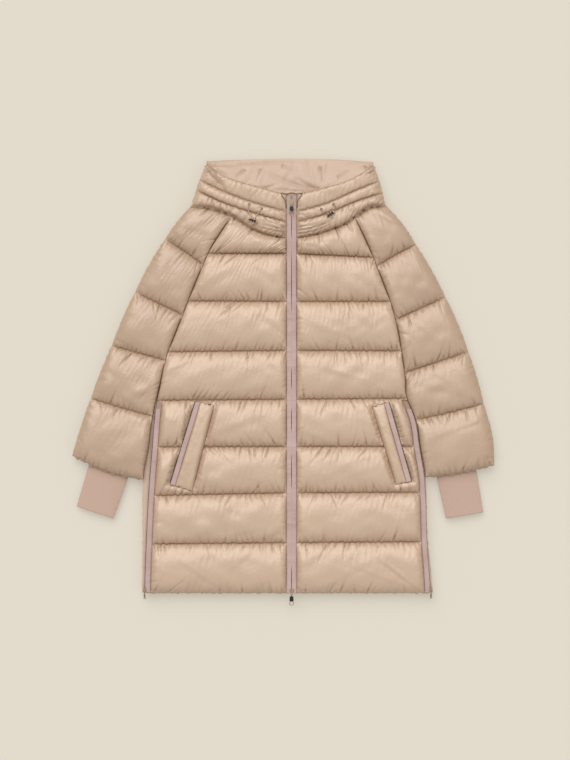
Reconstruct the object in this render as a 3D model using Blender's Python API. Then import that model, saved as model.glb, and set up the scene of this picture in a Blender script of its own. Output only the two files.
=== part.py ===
"""A long hooded down coat, laid flat on its back with its zip closed.

The coat lies in the XY plane: +X to the right of someone who looks down on its front,
+Y from the hem to the hood, +Z up from the surface. Tables are in millimetres, measured
from the foot of the front zip, and the meshes are written in metres with the origin at the
bottom centre of the coat. Every padded piece is one wall: a plain face towards the inside of
the coat, and an outer face that rises between its quilting seams. The back pieces reach from
the surface up to MID, and the front pieces lie on them. Trim lies on ledges in the walls.
"""
import math

import bmesh
import bpy
import numpy as np
from mathutils import Matrix, Vector
from mathutils.bvhtree import BVHTree

MM = 0.001

# ---------------------------------------------------------------- driving dimensions, mm
GAP = 0.3                # clearance between pieces that touch
MID = 20.0               # height of the plain face where the back and the front meet
FRONT = MID + GAP        # height of the front pieces' plain face
BAFFLE_SEAM = 6.0        # front wall at a quilting seam
BAFFLE_PUFF = 19.0       # how far a front baffle rises over its seams
SLEEVE_PUFF = 17.0
HOOD_PUFF = 15.0
BACK_SEAM = 14.5         # back wall at a quilting seam, so that its grooves are 5.5 deep
BACK_PUFF = 16.0         # the back puffs are pressed flat by the surface they lie on
EDGE = 4.5               # wall at a free edge
SIDE_ROUND = 30.0        # how far from an outer edge a wall reaches its full puff
SEAM_ROUND = 15.0        # the same, from a seam between two pieces
SCALLOP = 1.8            # how far an outer edge bulges between two quilting seams

ZIP_LEDGE = 10.2         # half of the front zip, over which each front is flat
ZIP_LEDGE_WALL = 11.0
ZIP_TOP = 827.0
ZIP_FLARE = 0.3          # how far the tapes turn outwards at their tops
TAPE = 1.1               # thickness of a zip tape
TEETH_HALF = 2.0         # half width of the front zip's closed teeth
TEETH_TALL = 2.2
SIDE_LEDGE = 10.0
SIDE_LEDGE_WALL = 7.0
SIDE_LEDGE_TOP = 401.0
SIDE_ZIP_TOP = 384.0
SIDE_TEETH_TOP_R = 350.0 # above this the right sleeve covers them

# ------------------------------------------------------------------- outlines, x and y
# Outer edge of the back piece, from the hem up the side and the armhole seam to the neck.
BACK_SIDE_L = ((-312, 0), (-311, 106), (-311, 205), (-309.5, 240), (-298, 305), (-290, 370),
               (-282.5, 402), (-272, 444), (-263.5, 484), (-238.4, 550), (-215.5, 609),
               (-197.8, 652), (-173.9, 708), (-124, 787))
BACK_SIDE_R = ((295, 0), (289, 66), (284.6, 106), (281.4, 205), (280, 240), (268.8, 305),
               (261.5, 354), (250, 385), (240.5, 406), (237, 450), (229, 505), (218.4, 564),
               (205.2, 610), (196.4, 633), (168.6, 704), (131, 785))
# Outer edge of each front, which runs inside the back's edge as far up as the side zip.
FRONT_SIDE_L = ((-305, 0), (-301.4, 102), (-296.5, 203), (-289, 304), (-283.5, 370),
                (-280, 402), (-275.5, 425)) + BACK_SIDE_L[7:]
FRONT_SIDE_R = ((288.8, 0), (281.5, 106), (278.2, 205), (276, 240), (265.6, 305),
                (258.2, 354), (248.5, 385)) + BACK_SIDE_R[8:]
SLEEVE_OUTER_L = ((-208.3, 807.5), (-238.4, 772), (-262.9, 737.5), (-325.5, 627), (-374.2, 515.6),
                  (-417.7, 405.5), (-456.8, 286.2))
SLEEVE_OUTER_R = ((194.3, 809.6), (227.9, 772), (258.3, 726.4), (319.8, 617), (367.5, 503),
                  (400, 394.4), (417.9, 322.4), (422.1, 266.7))
# Lower edge of the hood: over the shoulder, then down the neck seam to the zip.
HOOD_EDGE_L = ((-208.3, 807.5), (-167, 803.7), (-124, 788), (-75.8, 757.5), (-45, 746.6),
               (-12, 741.5), (0, 741))
HOOD_EDGE_R = ((0, 741), (13.7, 742), (50.6, 748.7), (76.4, 756.8), (108.6, 770), (131, 785),
               (156.5, 804), (194.3, 810.2))
HOOD_RIM = ((-178.1, 893), (-141.8, 869.4), (-76.7, 848.4), (0, 831.8), (72.5, 845.3),
            (129.2, 864.2), (171.2, 891))
RIM_EASE = 1.2           # clearance between the hood's back and the rim of its fronts
HOOD_CROWN = ((-177, 902), (-108, 905), (1, 907.5), (102, 905), (170, 900))
# Upright edge of the folded hood, surface up: inset and height, with the fold between layers.
HOOD_LAYERS = ((5.5, 0), (1.5, 2.5), (0, 6), (1.6, 8.5), (0, 11))
BACK_NECK = ((-124, 787), (131, 785))
NECK_EASE = 1.8          # clearance along the back of the neck
NECK_GAP = 0.9           # how far the tops of the fronts and sleeves lie below the hood edge

# ------------------------------------------------------------------------ quilting seams
# One row for each seam of the body, hem first: its height at the left edge, zip, right edge.
BODY_SEAMS = (
    # left, zip, right
    (0, 0, 0),
    (102, 105, 107),
    (203, 209, 210),
    (304.5, 305.5, 305.5),
    (402, 404, 406),
    (503, 506, 505),
    (609, 608, 608),
    (708, 708.5, 700),
)
# One row for each seam of a sleeve, hem first: its height at the outer and inner edge, and
# how far its middle hangs below the straight line between them.
SLEEVE_SEAMS_L = (
    # outer, inner, sag
    (286.2, 236.5, 8.0),
    (405.5, 368.6, 1.0),
    (515.6, 485.3, 0.0),
    (627.0, 580.0, 0.0),
    (737.5, 684.6, -2.0),
)
SLEEVE_SEAMS_R = (
    (266.7, 242.0, 3.0),
    (394.4, 361.0, 1.0),
    (503.0, 459.5, 0.0),
    (617.0, 570.0, 0.0),
    (726.4, 681.5, -2.0),
)
# The two stitched lines of the hood's cord channel, lower line first, edge to zip.
HOOD_LINES_L = (
    ((-198.5, 839.8), (-146, 814.8), (-76.7, 791.7), (0, 770.5)),
    ((-191.5, 861.0), (-146, 839.0), (-76.7, 813.3), (0, 792.5)),
)
HOOD_LINES_R = (
    ((0, 770.5), (72.5, 790.7), (139.7, 818.0), (189.6, 833.9)),
    ((0, 792.5), (72.5, 812.1), (131.3, 838.1), (182.7, 858.7)),
)

# ----------------------------------------------------------------------- cuffs, pockets
# For each cuff: its two x at the sleeve's hem, outer edge first, and the corners of its free end.
CUFF_WALL = 2.2
CUFF_HALF = 4.2          # half of the flattened cuff's thickness
CUFF_Z = 12.5
CUFF_L = ((-423.6, -340.8), ((-449.8, 179.6), (-372.8, 154.4)))
CUFF_R = ((386.6, 303.2), ((401.5, 167.4), (323.2, 154.4)))
# Corners of each pocket welt: outer foot, inner foot, inner top, outer top.
WELT_L = ((-251.0, 227.2), (-206.9, 212.5), (-161.3, 390.6), (-198.7, 399.2))
WELT_R = ((248.0, 233.9), (217.4, 226.6), (167.8, 387.2), (201.2, 398.0))
WELT_TAPE = 9.0
WELT_LEDGE_WALL = 9.5
WELT_END = 8.0
WELT_PUFF = 9.0
WELT_TEETH = 1.8         # width of the dark teeth beside the welt's tape
RECESS_FLOOR = FRONT + BAFFLE_SEAM + 0.6

# ----------------------------------------------------------------------- zip hardware
# One row for each slider: x, y of its pull's hinge, height of its foot, body width, length,
# pull width, pull length, how far the pull hangs below level in degrees.
ZIP_FACE = FRONT + ZIP_LEDGE_WALL + GAP
SIDE_FACE = FRONT + SIDE_LEDGE_WALL + GAP
SLIDERS = {
    "front_top": (0.0, 809.5, ZIP_FACE + TEETH_TALL + GAP, 8.4, 11.0, 5.6, 23.0, 0.0),
    "front_bottom": (0.0, -1.5, ZIP_FACE + TEETH_TALL + GAP, 8.4, 11.0, 5.6, 25.5, 18.0),
    "side_left": (-306.4, 3.4, SIDE_FACE + TAPE + GAP, 6.0, 8.0, 3.8, 18.0, 25.0),
    "side_right": (290.8, 4.4, SIDE_FACE + TAPE + GAP, 6.0, 8.0, 3.8, 18.0, 25.0),
}

# ------------------------------------------------------------------------- drawcord
CORD_RADIUS = 1.1
EYELET_INNER = 1.6
EYELET_OUTER = 2.9
EYELET_TALL = 0.9
LOCK_SIZE = (13.5, 7.0, 6.0)      # across the cords, along them, height
# For each side: two eyelets, the lock's middle, its turn in degrees about Z, and for each cord
# the points that it passes between its eyelet and the lock.
DRAWCORDS = {
    "left": {
        "eyelets": ((-88.2, 809.3), (-62.4, 800.5)),
        "lock": (-80.6, 775.5), "turn": -20.0,
        "by": (((-90.4, 800.5), (-87.6, 790.0)), ((-68.0, 793.5), (-74.0, 784.0))),
    },
    "right": {
        "eyelets": ((62.0, 799.1), (87.2, 809.4)),
        "lock": (80.6, 788.2), "turn": 33.0,
        "by": (((64.5, 792.5), (69.0, 788.0)), ((92.5, 803.0), (92.0, 797.5))),
    },
}

# ------------------------------------------------------------------------------ colours
# Material: base colour, roughness, metallic.
FINISHES = {
    "shell": ((0.60, 0.45, 0.32), 0.42, 0.0),
    "lining": ((0.56, 0.40, 0.29), 0.62, 0.0),
    "rib": ((0.44, 0.30, 0.23), 0.85, 0.0),
    "tape": ((0.40, 0.27, 0.24), 0.70, 0.0),
    "teeth": ((0.10, 0.08, 0.06), 0.40, 0.6),
    "metal": ((0.42, 0.36, 0.27), 0.30, 1.0),
    "enamel": ((0.02, 0.02, 0.02), 0.25, 0.0),
    "cord": ((0.42, 0.29, 0.26), 0.80, 0.0),
}


# ----------------------------------------------------------------------------- lines
def smooth_line(points, shares):
    """Points at shares 0 to 1 of a Catmull-Rom line through the given points."""
    pts = np.asarray(points, float)
    shares = np.asarray(shares, float)
    if len(pts) == 2:
        return pts[0] + (pts[1] - pts[0]) * shares[:, None]
    knots = np.concatenate(([0.0], np.cumsum(np.linalg.norm(np.diff(pts, axis=0), axis=1))))
    slopes = np.gradient(pts, knots, axis=0)
    at = shares * knots[-1]
    i = np.clip(np.searchsorted(knots, at, side="right") - 1, 0, len(pts) - 2)
    span = (knots[i + 1] - knots[i])[:, None]
    t = (at - knots[i])[:, None] / span
    near, far = pts[i], pts[i + 1]
    return ((2 * t**3 - 3 * t**2 + 1) * near + (t**3 - 2 * t**2 + t) * span * slopes[i]
            + (3 * t**2 - 2 * t**3) * far + (t**3 - t**2) * span * slopes[i + 1])


def edge_x(edge, heights):
    """The x of an edge line at the given heights."""
    fine = smooth_line(edge, np.linspace(0, 1, 600))
    order = np.argsort(fine[:, 1])
    return np.interp(heights, fine[order, 1], fine[order, 0])


def stretch(line, x_from, x_to, lift, count=7):
    """A few points of a line that runs across the coat, between two x, moved up by lift."""
    fine = smooth_line(line, np.linspace(0, 1, 600))
    xs = np.linspace(x_from, x_to, count)
    return [(x, np.interp(x, fine[:, 0], fine[:, 1]) + lift) for x in xs]


def across(edge_a, edge_b, height_a, height_b, sag=0.0):
    """A seam from one edge line to another, with its middle sagging below the straight."""
    a = np.array((edge_x(edge_a, height_a), height_a), float)
    b = np.array((edge_x(edge_b, height_b), height_b), float)
    return [a, (a + b) / 2 - (0, sag), b]


def moved(line, dx, dy=0.0):
    """A line moved sideways and up."""
    return tuple((x + dx, y + dy) for x, y in line)


def puff(f):
    """Rise of a baffle at share f between its seams: steep at both, and broad between."""
    return (1 - np.abs(2 * f - 1) ** 2.4) ** 0.62


def rounding(distance, radius):
    """Quarter-round from 0 at an edge to 1 at the radius."""
    return np.sqrt(1 - (1 - np.clip(distance / radius, 0, 1)) ** 2)


# ------------------------------------------------------------------------------ meshes
def finish(name):
    """The material of one finish, made once."""
    if name in bpy.data.materials:
        return bpy.data.materials[name]
    colour, rough, metallic = FINISHES[name]
    material = bpy.data.materials.new(name)
    material.use_nodes = True
    shader = material.node_tree.nodes["Principled BSDF"]
    shader.inputs["Base Color"].default_value = (*colour, 1)
    shader.inputs["Roughness"].default_value = rough
    shader.inputs["Metallic"].default_value = metallic
    return material


def add_object(name, mesh, finish_name):
    """Put a mesh in the scene as the sub-part of this name."""
    mesh.materials.append(finish(finish_name))
    part = bpy.data.objects.new(name, mesh)
    bpy.context.collection.objects.link(part)
    return part


def add_mesh(name, points, faces, finish_name):
    """A closed mesh from points in millimetres, with its faces turned outwards."""
    mesh = bpy.data.meshes.new(name)
    mesh.from_pydata((np.asarray(points, float) * MM).tolist(), [], [list(f) for f in faces])
    work = bmesh.new()
    work.from_mesh(mesh)
    bmesh.ops.recalc_face_normals(work, faces=work.faces)
    work.to_mesh(mesh)
    work.free()
    return add_object(name, mesh, finish_name)


def wall(name, rows, finish_name, *, plain, up=True, seam, rise, left=None, right=None,
         ledges=(0, 0), ledge_walls=(EDGE, EDGE), ledge_tops=(math.inf, math.inf),
         rounds=(SEAM_ROUND, SEAM_ROUND), scallops=(0, 0), most=math.inf, across_steps=12,
         shares=(0.1, 0.28, 0.5, 0.72, 0.9), side_profile=((0, 0),)):
    """A padded wall over rows of seams, each a short line from its left to its right edge.

    The plain face is level at height plain. The other face stands off it by seam at each row
    and by seam + rise between rows, rounds down to ledge_walls at both side edges, and is
    never further off than most. left and right are the outlines of the side edges. A ledge is
    a level strip along a side edge, up to the height ledge_tops. seam and rise are one number
    or one for each row and each baffle. side_profile gives the wall's upright side, from the
    plain face on: how far each of its rings is set in, and how far it stands off that face.
    """
    count = len(rows)
    seams = np.broadcast_to(seam, count).astype(float)
    rises = np.broadcast_to(rise, count - 1).astype(float)
    at_row = [(j, f) for j in range(count - 1) for f in (0.0, *shares)] + [(count - 2, 1.0)]
    lines, thick = [], []
    for j, f in at_row:
        lengths = [np.linalg.norm(np.diff(np.array(rows[k], float), axis=0), axis=1).sum()
                   for k in (j, j + 1)]
        width = (1 - f) * lengths[0] + f * lengths[1]
        inner = (1 - np.cos(np.pi * np.arange(across_steps + 1) / across_steps)) / 2
        start, end = ledges[0] / width, 1 - ledges[1] / width
        share = start + (end - start) * inner
        share = np.concatenate(([0.0] * bool(ledges[0]), share, [1.0] * bool(ledges[1])))
        low, high = smooth_line(rows[j], share), smooth_line(rows[j + 1], share)
        line = (1 - f) * low + f * high
        for edge, end_of, weight, side in ((left, 0, 1 - share, -1), (right, -1, share, 1)):
            if edge is not None:
                target = edge_x(edge, line[end_of, 1])
                line[:, 0] += weight * (target - line[end_of, 0])
            line[:, 0] += side * scallops[0 if side < 0 else 1] * puff(f) * weight
        full = (1 - f) * seams[j] + f * seams[j + 1] + rises[j] * puff(f)
        height = np.full(len(share), full)
        for k, distance in enumerate((share * width, (1 - share) * width)):
            on = line[0 if k == 0 else -1, 1] < ledge_tops[k]
            shaped = rounding(distance - ledges[k] * on, rounds[k])
            height = ledge_walls[k] * (1 - shaped) + height * shaped
        lines.append(line)
        thick.append(np.minimum(height, most))
    plan, thick = np.array(lines), np.array(thick)
    across_count = plan.shape[1]
    outer = np.dstack((plan, plain + thick * (1 if up else -1)))
    index = np.arange(plan.shape[0] * across_count).reshape(plan.shape[:2])
    rim = np.concatenate((index[0, :-1], index[:-1, -1], index[-1, :0:-1], index[:0:-1, 0]))
    points = outer.reshape(-1, 3)
    quads = np.stack((index[:-1, :-1], index[:-1, 1:], index[1:, 1:], index[1:, :-1]), axis=-1)
    faces = quads.reshape(-1, 4).tolist()
    edge = points[rim]
    tangent = np.roll(edge, -1, axis=0) - np.roll(edge, 1, axis=0)
    inward = np.column_stack((-tangent[:, 1], tangent[:, 0], np.zeros(len(rim))))
    inward /= np.linalg.norm(inward, axis=1)[:, None]
    above, stacked = rim, [points]
    for k, (inset, stand) in enumerate(side_profile[::-1]):
        ring = edge + inward * inset
        ring[:, 2] = plain + stand * (1 if up else -1)
        below = len(points) + k * len(rim) + np.arange(len(rim))
        faces += np.stack((above, np.roll(above, -1), np.roll(below, -1), below), axis=-1).tolist()
        above = below
        stacked.append(ring)
    faces.append(above[::-1].tolist())
    part = add_mesh(name, np.vstack(stacked), faces, finish_name)
    part.data.shade_smooth()
    part.data.set_sharp_from_angle(angle=math.radians(40))
    return part


def prism(name, outline, low, high, finish_name):
    """An upright prism over a flat outline."""
    count = len(outline)
    points = [(x, y, low) for x, y in outline] + [(x, y, high) for x, y in outline]
    faces = [list(range(count))[::-1], list(range(count, 2 * count))]
    faces += [(i, (i + 1) % count, count + (i + 1) % count, count + i) for i in range(count)]
    return add_mesh(name, points, faces, finish_name)


def flat_tube(name, lines, finish_name, *, middle, half, wall_thickness, turns=28, steps=4):
    """An open tube pressed flat: oval sections whose long axes run along the given lines."""
    angle = 2 * np.pi * np.arange(turns) / turns
    rings = []
    width = np.linalg.norm(np.subtract(lines[1][-1], lines[1][0]))
    for v in np.linspace(0, 1, steps + 1):
        for inset in (0.0, wall_thickness):
            share = inset / width + (1 - 2 * inset / width) * (1 - np.cos(angle)) / 2
            height = middle + (half - inset) * np.sin(angle)
            line = (1 - v) * smooth_line(lines[0], share) + v * smooth_line(lines[1], share)
            rings.append(np.column_stack((line, height)))
    points = np.vstack(rings)
    ring = np.arange(turns)
    after = np.roll(ring, -1)
    faces = []
    for k in range(steps):
        outer, inner = 2 * k * turns, (2 * k + 1) * turns
        for base in (outer, inner):
            far = base + 2 * turns
            faces += np.stack((base + ring, base + after, far + after, far + ring), axis=-1).tolist()
    for base in (0, 2 * steps * turns):
        faces += np.stack((base + ring, base + after, base + turns + after, base + turns + ring),
                          axis=-1).tolist()
    part = add_mesh(name, points, faces, finish_name)
    part.data.shade_smooth()
    part.data.set_sharp_from_angle(angle=math.radians(40))
    return part


def combine(part, other, operation):
    """Apply an exact Boolean of another object to a part, and remove that object."""
    modifier = part.modifiers.new(operation.lower(), "BOOLEAN")
    modifier.operation = operation
    modifier.object = other
    graph = bpy.context.evaluated_depsgraph_get()
    mesh = bpy.data.meshes.new_from_object(part.evaluated_get(graph))
    part.modifiers.clear()
    old = part.data
    part.data = mesh
    bpy.data.meshes.remove(old)
    used = other.data
    bpy.data.objects.remove(other)
    bpy.data.meshes.remove(used)


def surface_under(part):
    """A function that gives a part's highest z, in millimetres, over a point."""
    tree = BVHTree.FromObject(part, bpy.context.evaluated_depsgraph_get())

    def height(x, y):
        hit = tree.ray_cast(Vector((x * MM, y * MM, 1.0)), Vector((0, 0, -1)))[0]
        return hit.z / MM if hit else -math.inf

    return height


# ----------------------------------------------------------------------- the coat's body
def make_back():
    rows = [across(BACK_SIDE_L, BACK_SIDE_R, left, right) for left, _, right in BODY_SEAMS]
    rows.append(moved(BACK_NECK, 0, -GAP))
    wall("back_panel", rows, "shell", plain=MID, up=False, seam=BACK_SEAM, rise=BACK_PUFF,
         left=moved(BACK_SIDE_L, GAP), right=moved(BACK_SIDE_R, -GAP), ledge_walls=(8, 8),
         rounds=(SIDE_ROUND, SIDE_ROUND), scallops=(0, 0), most=MID, across_steps=14)


def make_fronts():
    """The two fronts, each with a ledge for the front zip and one for its side zip."""
    zip_edge = ((0, -1), (0, 1000))
    rows = [across(FRONT_SIDE_L, zip_edge, left, middle) for left, middle, _ in BODY_SEAMS]
    rows.append(stretch(HOOD_EDGE_L, BACK_SIDE_L[-1][0], 0, -NECK_GAP))
    left = wall("front_left", rows, "shell", plain=FRONT, seam=BAFFLE_SEAM, rise=BAFFLE_PUFF,
                left=moved(FRONT_SIDE_L, GAP), right=moved(zip_edge, -GAP / 2),
                ledges=(SIDE_LEDGE, ZIP_LEDGE), ledge_walls=(SIDE_LEDGE_WALL, ZIP_LEDGE_WALL),
                ledge_tops=(SIDE_LEDGE_TOP, math.inf))
    rows = [across(zip_edge, FRONT_SIDE_R, middle, right) for _, middle, right in BODY_SEAMS]
    rows.append(stretch(HOOD_EDGE_R, 0, BACK_SIDE_R[-1][0], -NECK_GAP))
    right = wall("front_right", rows, "shell", plain=FRONT, seam=BAFFLE_SEAM, rise=BAFFLE_PUFF,
                 left=moved(zip_edge, GAP / 2), right=moved(FRONT_SIDE_R, -GAP),
                 ledges=(ZIP_LEDGE, SIDE_LEDGE), ledge_walls=(ZIP_LEDGE_WALL, SIDE_LEDGE_WALL),
                 ledge_tops=(math.inf, SIDE_LEDGE_TOP))
    return left, right


def make_sleeve(side, outer, inner, seams, hood_edge, neck_x):
    """A raglan sleeve: a front and a back half that meet in the plane of the coat's middle."""
    is_left = side == "left"
    shift = -GAP if is_left else GAP
    inner = moved(inner, shift)
    rows = []
    for at_outer, at_inner, sag in seams:
        row = across(outer, inner, at_outer, at_inner, sag)
        rows.append(row if is_left else row[::-1])
    ends = (outer[0][0], neck_x + shift)
    rows.append(stretch(hood_edge, min(ends), max(ends), -NECK_GAP))
    left, right = (outer, inner) if is_left else (inner, outer)
    shape = {"left": left, "right": right,
             "rounds": (SIDE_ROUND, SEAM_ROUND) if is_left else (SEAM_ROUND, SIDE_ROUND),
             "scallops": (SCALLOP, 0) if is_left else (0, SCALLOP)}
    wall(f"sleeve_{side}_front", rows, "shell", plain=FRONT, seam=BAFFLE_SEAM, rise=SLEEVE_PUFF,
         across_steps=9, **shape)
    wall(f"sleeve_{side}_back", rows, "shell", plain=MID, up=False, seam=BACK_SEAM,
         rise=BACK_PUFF, ledge_walls=(8, 8), most=MID, across_steps=9, **shape)


def make_cuffs():
    """A knitted cuff at each sleeve's hem, pressed flat."""
    for side, cuff, outer, inner, seams in (
            ("left", CUFF_L, SLEEVE_OUTER_L, BACK_SIDE_L, SLEEVE_SEAMS_L),
            ("right", CUFF_R, SLEEVE_OUTER_R, BACK_SIDE_R, SLEEVE_SEAMS_R)):
        (x_outer, x_inner), free_end = cuff
        hem = across(outer, inner, *seams[0])
        if side == "right":
            hem = hem[::-1]
        start = stretch(hem, min(x_outer, x_inner), max(x_outer, x_inner), -2 * GAP)
        if side == "right":
            start = start[::-1]
        flat_tube(f"cuff_{side}", (start, free_end), "rib", middle=CUFF_Z, half=CUFF_HALF,
                  wall_thickness=CUFF_WALL)


# ------------------------------------------------------------------------------ the hood
def make_hood():
    """The hood's folded back with its lining face up, and the two fronts that lie on it."""
    left = moved(HOOD_EDGE_L, 0, GAP)
    right = moved(HOOD_EDGE_R, 0, GAP)
    neck = stretch(BACK_NECK, BACK_NECK[0][0], BACK_NECK[1][0], NECK_EASE)
    foot = [*stretch(left, left[0][0], neck[0][0] - 4, 0), *neck,
            *stretch(right, neck[-1][0] + 4, right[-1][0], 0)]
    rim = moved(HOOD_RIM, 0, RIM_EASE)
    lip = moved(rim, 0, 2.5)
    wall("hood_back", [foot, rim, lip, HOOD_CROWN], "lining", plain=0.0,
         seam=(MID, MID, MID + 3, 12), rise=(0, 0, 11), ledge_walls=(MID, MID), rounds=(1, 1),
         across_steps=22, shares=(0.12, 0.35, 0.6, 0.82, 0.95), side_profile=HOOD_LAYERS)
    flare = {"ledge_walls": (EDGE, ZIP_LEDGE_WALL), "ledges": (0, ZIP_LEDGE)}
    rows = [left, *HOOD_LINES_L, stretch(HOOD_RIM, HOOD_RIM[0][0], 0, 0)]
    wall("hood_front_left", rows, "shell", plain=FRONT, seam=(7, 9, 9, 7), rise=(13, 11, HOOD_PUFF),
         rounds=(22, SEAM_ROUND), right=((-GAP / 2, 0), (-GAP / 2, 1000)),
         shares=(0.1, 0.3, 0.55, 0.8, 0.94), **flare)
    flare = {"ledge_walls": (ZIP_LEDGE_WALL, EDGE), "ledges": (ZIP_LEDGE, 0)}
    rows = [right, *HOOD_LINES_R, stretch(HOOD_RIM, 0, HOOD_RIM[-1][0], 0)]
    wall("hood_front_right", rows, "shell", plain=FRONT, seam=(7, 9, 9, 7), rise=(13, 11, HOOD_PUFF),
         rounds=(SEAM_ROUND, 22), left=((GAP / 2, 0), (GAP / 2, 1000)),
         shares=(0.1, 0.3, 0.55, 0.8, 0.94), **flare)


def make_drawcord(side, base):
    """Two eyelets in the channel, the cord's two runs, and the lock that holds them."""
    places = DRAWCORDS[side]
    turn = math.radians(places["turn"])
    mid_x, mid_y = places["lock"]
    wide, long, tall = LOCK_SIZE
    along = np.array((math.cos(turn), math.sin(turn)))
    down = np.array((math.sin(turn), -math.cos(turn)))
    corners = [np.array((mid_x, mid_y)) + along * sx * wide / 2 + down * sy * long / 2
               for sx, sy in ((-1, -1), (1, -1), (1, 1), (-1, 1), (0, 0), (0, 1), (0, -1))]
    foot = max(base(*corner) for corner in corners) + GAP
    lock = prism(f"cord_lock_{side}", [tuple(c) for c in corners[:4]], foot, foot + tall, "enamel")
    bevel = lock.modifiers.new("edges", "BEVEL")
    bevel.width = 1.2 * MM
    bevel.segments = 2
    for k, (eyelet, by) in enumerate(zip(places["eyelets"], places["by"])):
        x, y = eyelet
        slope_x = (base(x + EYELET_OUTER, y) - base(x - EYELET_OUTER, y)) / (2 * EYELET_OUTER)
        slope_y = (base(x, y + EYELET_OUTER) - base(x, y - EYELET_OUTER)) / (2 * EYELET_OUTER)
        normal = Vector((-slope_x, -slope_y, 1)).normalized()
        place = Matrix.Translation(Vector((x, y, base(x, y))) + normal * 2 * GAP)
        place = place @ normal.to_track_quat("Z", "Y").to_matrix().to_4x4()
        make_eyelet(f"eyelet_{side}_{k + 1}", place)
        end = np.array((mid_x, mid_y)) + along * (k - 0.5) * 5.0 - down * (long / 2 + GAP)
        start = Vector((x, y, base(x, y))) + normal * 2 * GAP
        toward = Vector((*by[0], start.z)) - start
        over = start + toward.normalized() * (EYELET_OUTER + CORD_RADIUS)
        over.z = max(start.z, base(over.x, over.y)) + EYELET_TALL + 2 * CORD_RADIUS
        route = [start, start + normal * (EYELET_TALL + 2.2 * CORD_RADIUS), over]
        route += [Vector((px, py, base(px, py) + CORD_RADIUS + 2 * GAP)) for px, py in by]
        route.append(Vector((*(end - down * 1.0), foot + tall / 2)))
        route.append(Vector((*end, foot + tall / 2)))
        make_cord(f"drawcord_{side}_{k + 1}", route, base)


def make_eyelet(name, place, sides=14):
    """A flat metal ring with its hole through it."""
    angle = 2 * np.pi * np.arange(sides) / sides
    slope = 0.2
    rings = ((EYELET_INNER, 0), (EYELET_OUTER, 0), (EYELET_OUTER - slope, EYELET_TALL),
             (EYELET_INNER + slope, EYELET_TALL))
    points = [place @ Vector((r * math.cos(a), r * math.sin(a), z)) for r, z in rings for a in angle]
    faces = [(i * sides + k, i * sides + (k + 1) % sides,
              (i + 1) % 4 * sides + (k + 1) % sides, (i + 1) % 4 * sides + k)
             for i in range(4) for k in range(sides)]
    add_mesh(name, points, faces, "metal")


def make_cord(name, route, base):
    """A cord along a smooth line through its route, kept clear of the surface under it."""
    count = 3 * len(route)
    line = smooth_line([tuple(p) for p in route], np.linspace(0, 1, count))
    beside = (-CORD_RADIUS, 0, CORD_RADIUS)
    for p in line[5:-2]:
        under = max(base(p[0] + dx, p[1] + dy) for dx in beside for dy in beside)
        p[2] = max(p[2], under + CORD_RADIUS + GAP)
    curve = bpy.data.curves.new(name, "CURVE")
    curve.dimensions = "3D"
    curve.bevel_depth = CORD_RADIUS * MM
    curve.bevel_resolution = 2
    curve.use_fill_caps = True
    spline = curve.splines.new("POLY")
    spline.points.add(count - 1)
    for point, p in zip(spline.points, line):
        point.co = (*(p * MM), 1)
    add_object(name, curve, "cord")


# ------------------------------------------------------------------------------ the zips
def make_front_zip():
    """Two tapes with the closed teeth between them, from the hem to the hood's rim."""
    low, high = ZIP_FACE, ZIP_FACE + TAPE
    inner, outer = TEETH_HALF + GAP, ZIP_LEDGE - GAP
    half = [(inner, 0.5), (outer, 0.5), (outer, ZIP_TOP - 14), (outer + ZIP_FLARE, ZIP_TOP),
            (inner + 3, ZIP_TOP), (inner, ZIP_TOP - 9)]
    prism("front_zip_tape_right", half, low, high, "tape")
    prism("front_zip_tape_left", [(-x, y) for x, y in half[::-1]], low, high, "tape")
    prism("front_zip_teeth", [(-TEETH_HALF, 1), (TEETH_HALF, 1), (TEETH_HALF, ZIP_TOP - 12),
                              (-TEETH_HALF, ZIP_TOP - 12)], low, low + TEETH_TALL, "teeth")


def strip_along(name, edge, near, far, y_from, y_to, low, high, finish_name, steps=14):
    """A thin strip that follows an edge line, from near to far beside it."""
    ys = np.linspace(y_from, y_to, steps + 1)
    xs = edge_x(edge, ys)
    outline = [(x + near, y) for x, y in zip(xs, ys)]
    outline += [(x + far, y) for x, y in zip(xs[::-1], ys[::-1])]
    prism(name, outline, low, high, finish_name)


def make_side_zips():
    """On each side a tape on the front's ledge, teeth beside it, and a tape on the back."""
    top = SIDE_ZIP_TOP
    for side, edge, sign, teeth_top in (("left", FRONT_SIDE_L, 1, top - 4),
                                        ("right", FRONT_SIDE_R, -1, SIDE_TEETH_TOP_R)):
        strip_along(f"side_zip_{side}_tape_front", edge, sign * 0.7, sign * (SIDE_LEDGE - GAP), 1, top,
                    SIDE_FACE, SIDE_FACE + TAPE, "tape")
        strip_along(f"side_zip_{side}_teeth", edge, -sign * 2.1, -sign * 0.2, 1, teeth_top,
                    FRONT, FRONT + 5, "teeth")
    strip_along("side_zip_left_tape_back", FRONT_SIDE_L, -5.2, -2.4, 1, top - 4,
                FRONT, FRONT + TAPE, "tape")


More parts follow.
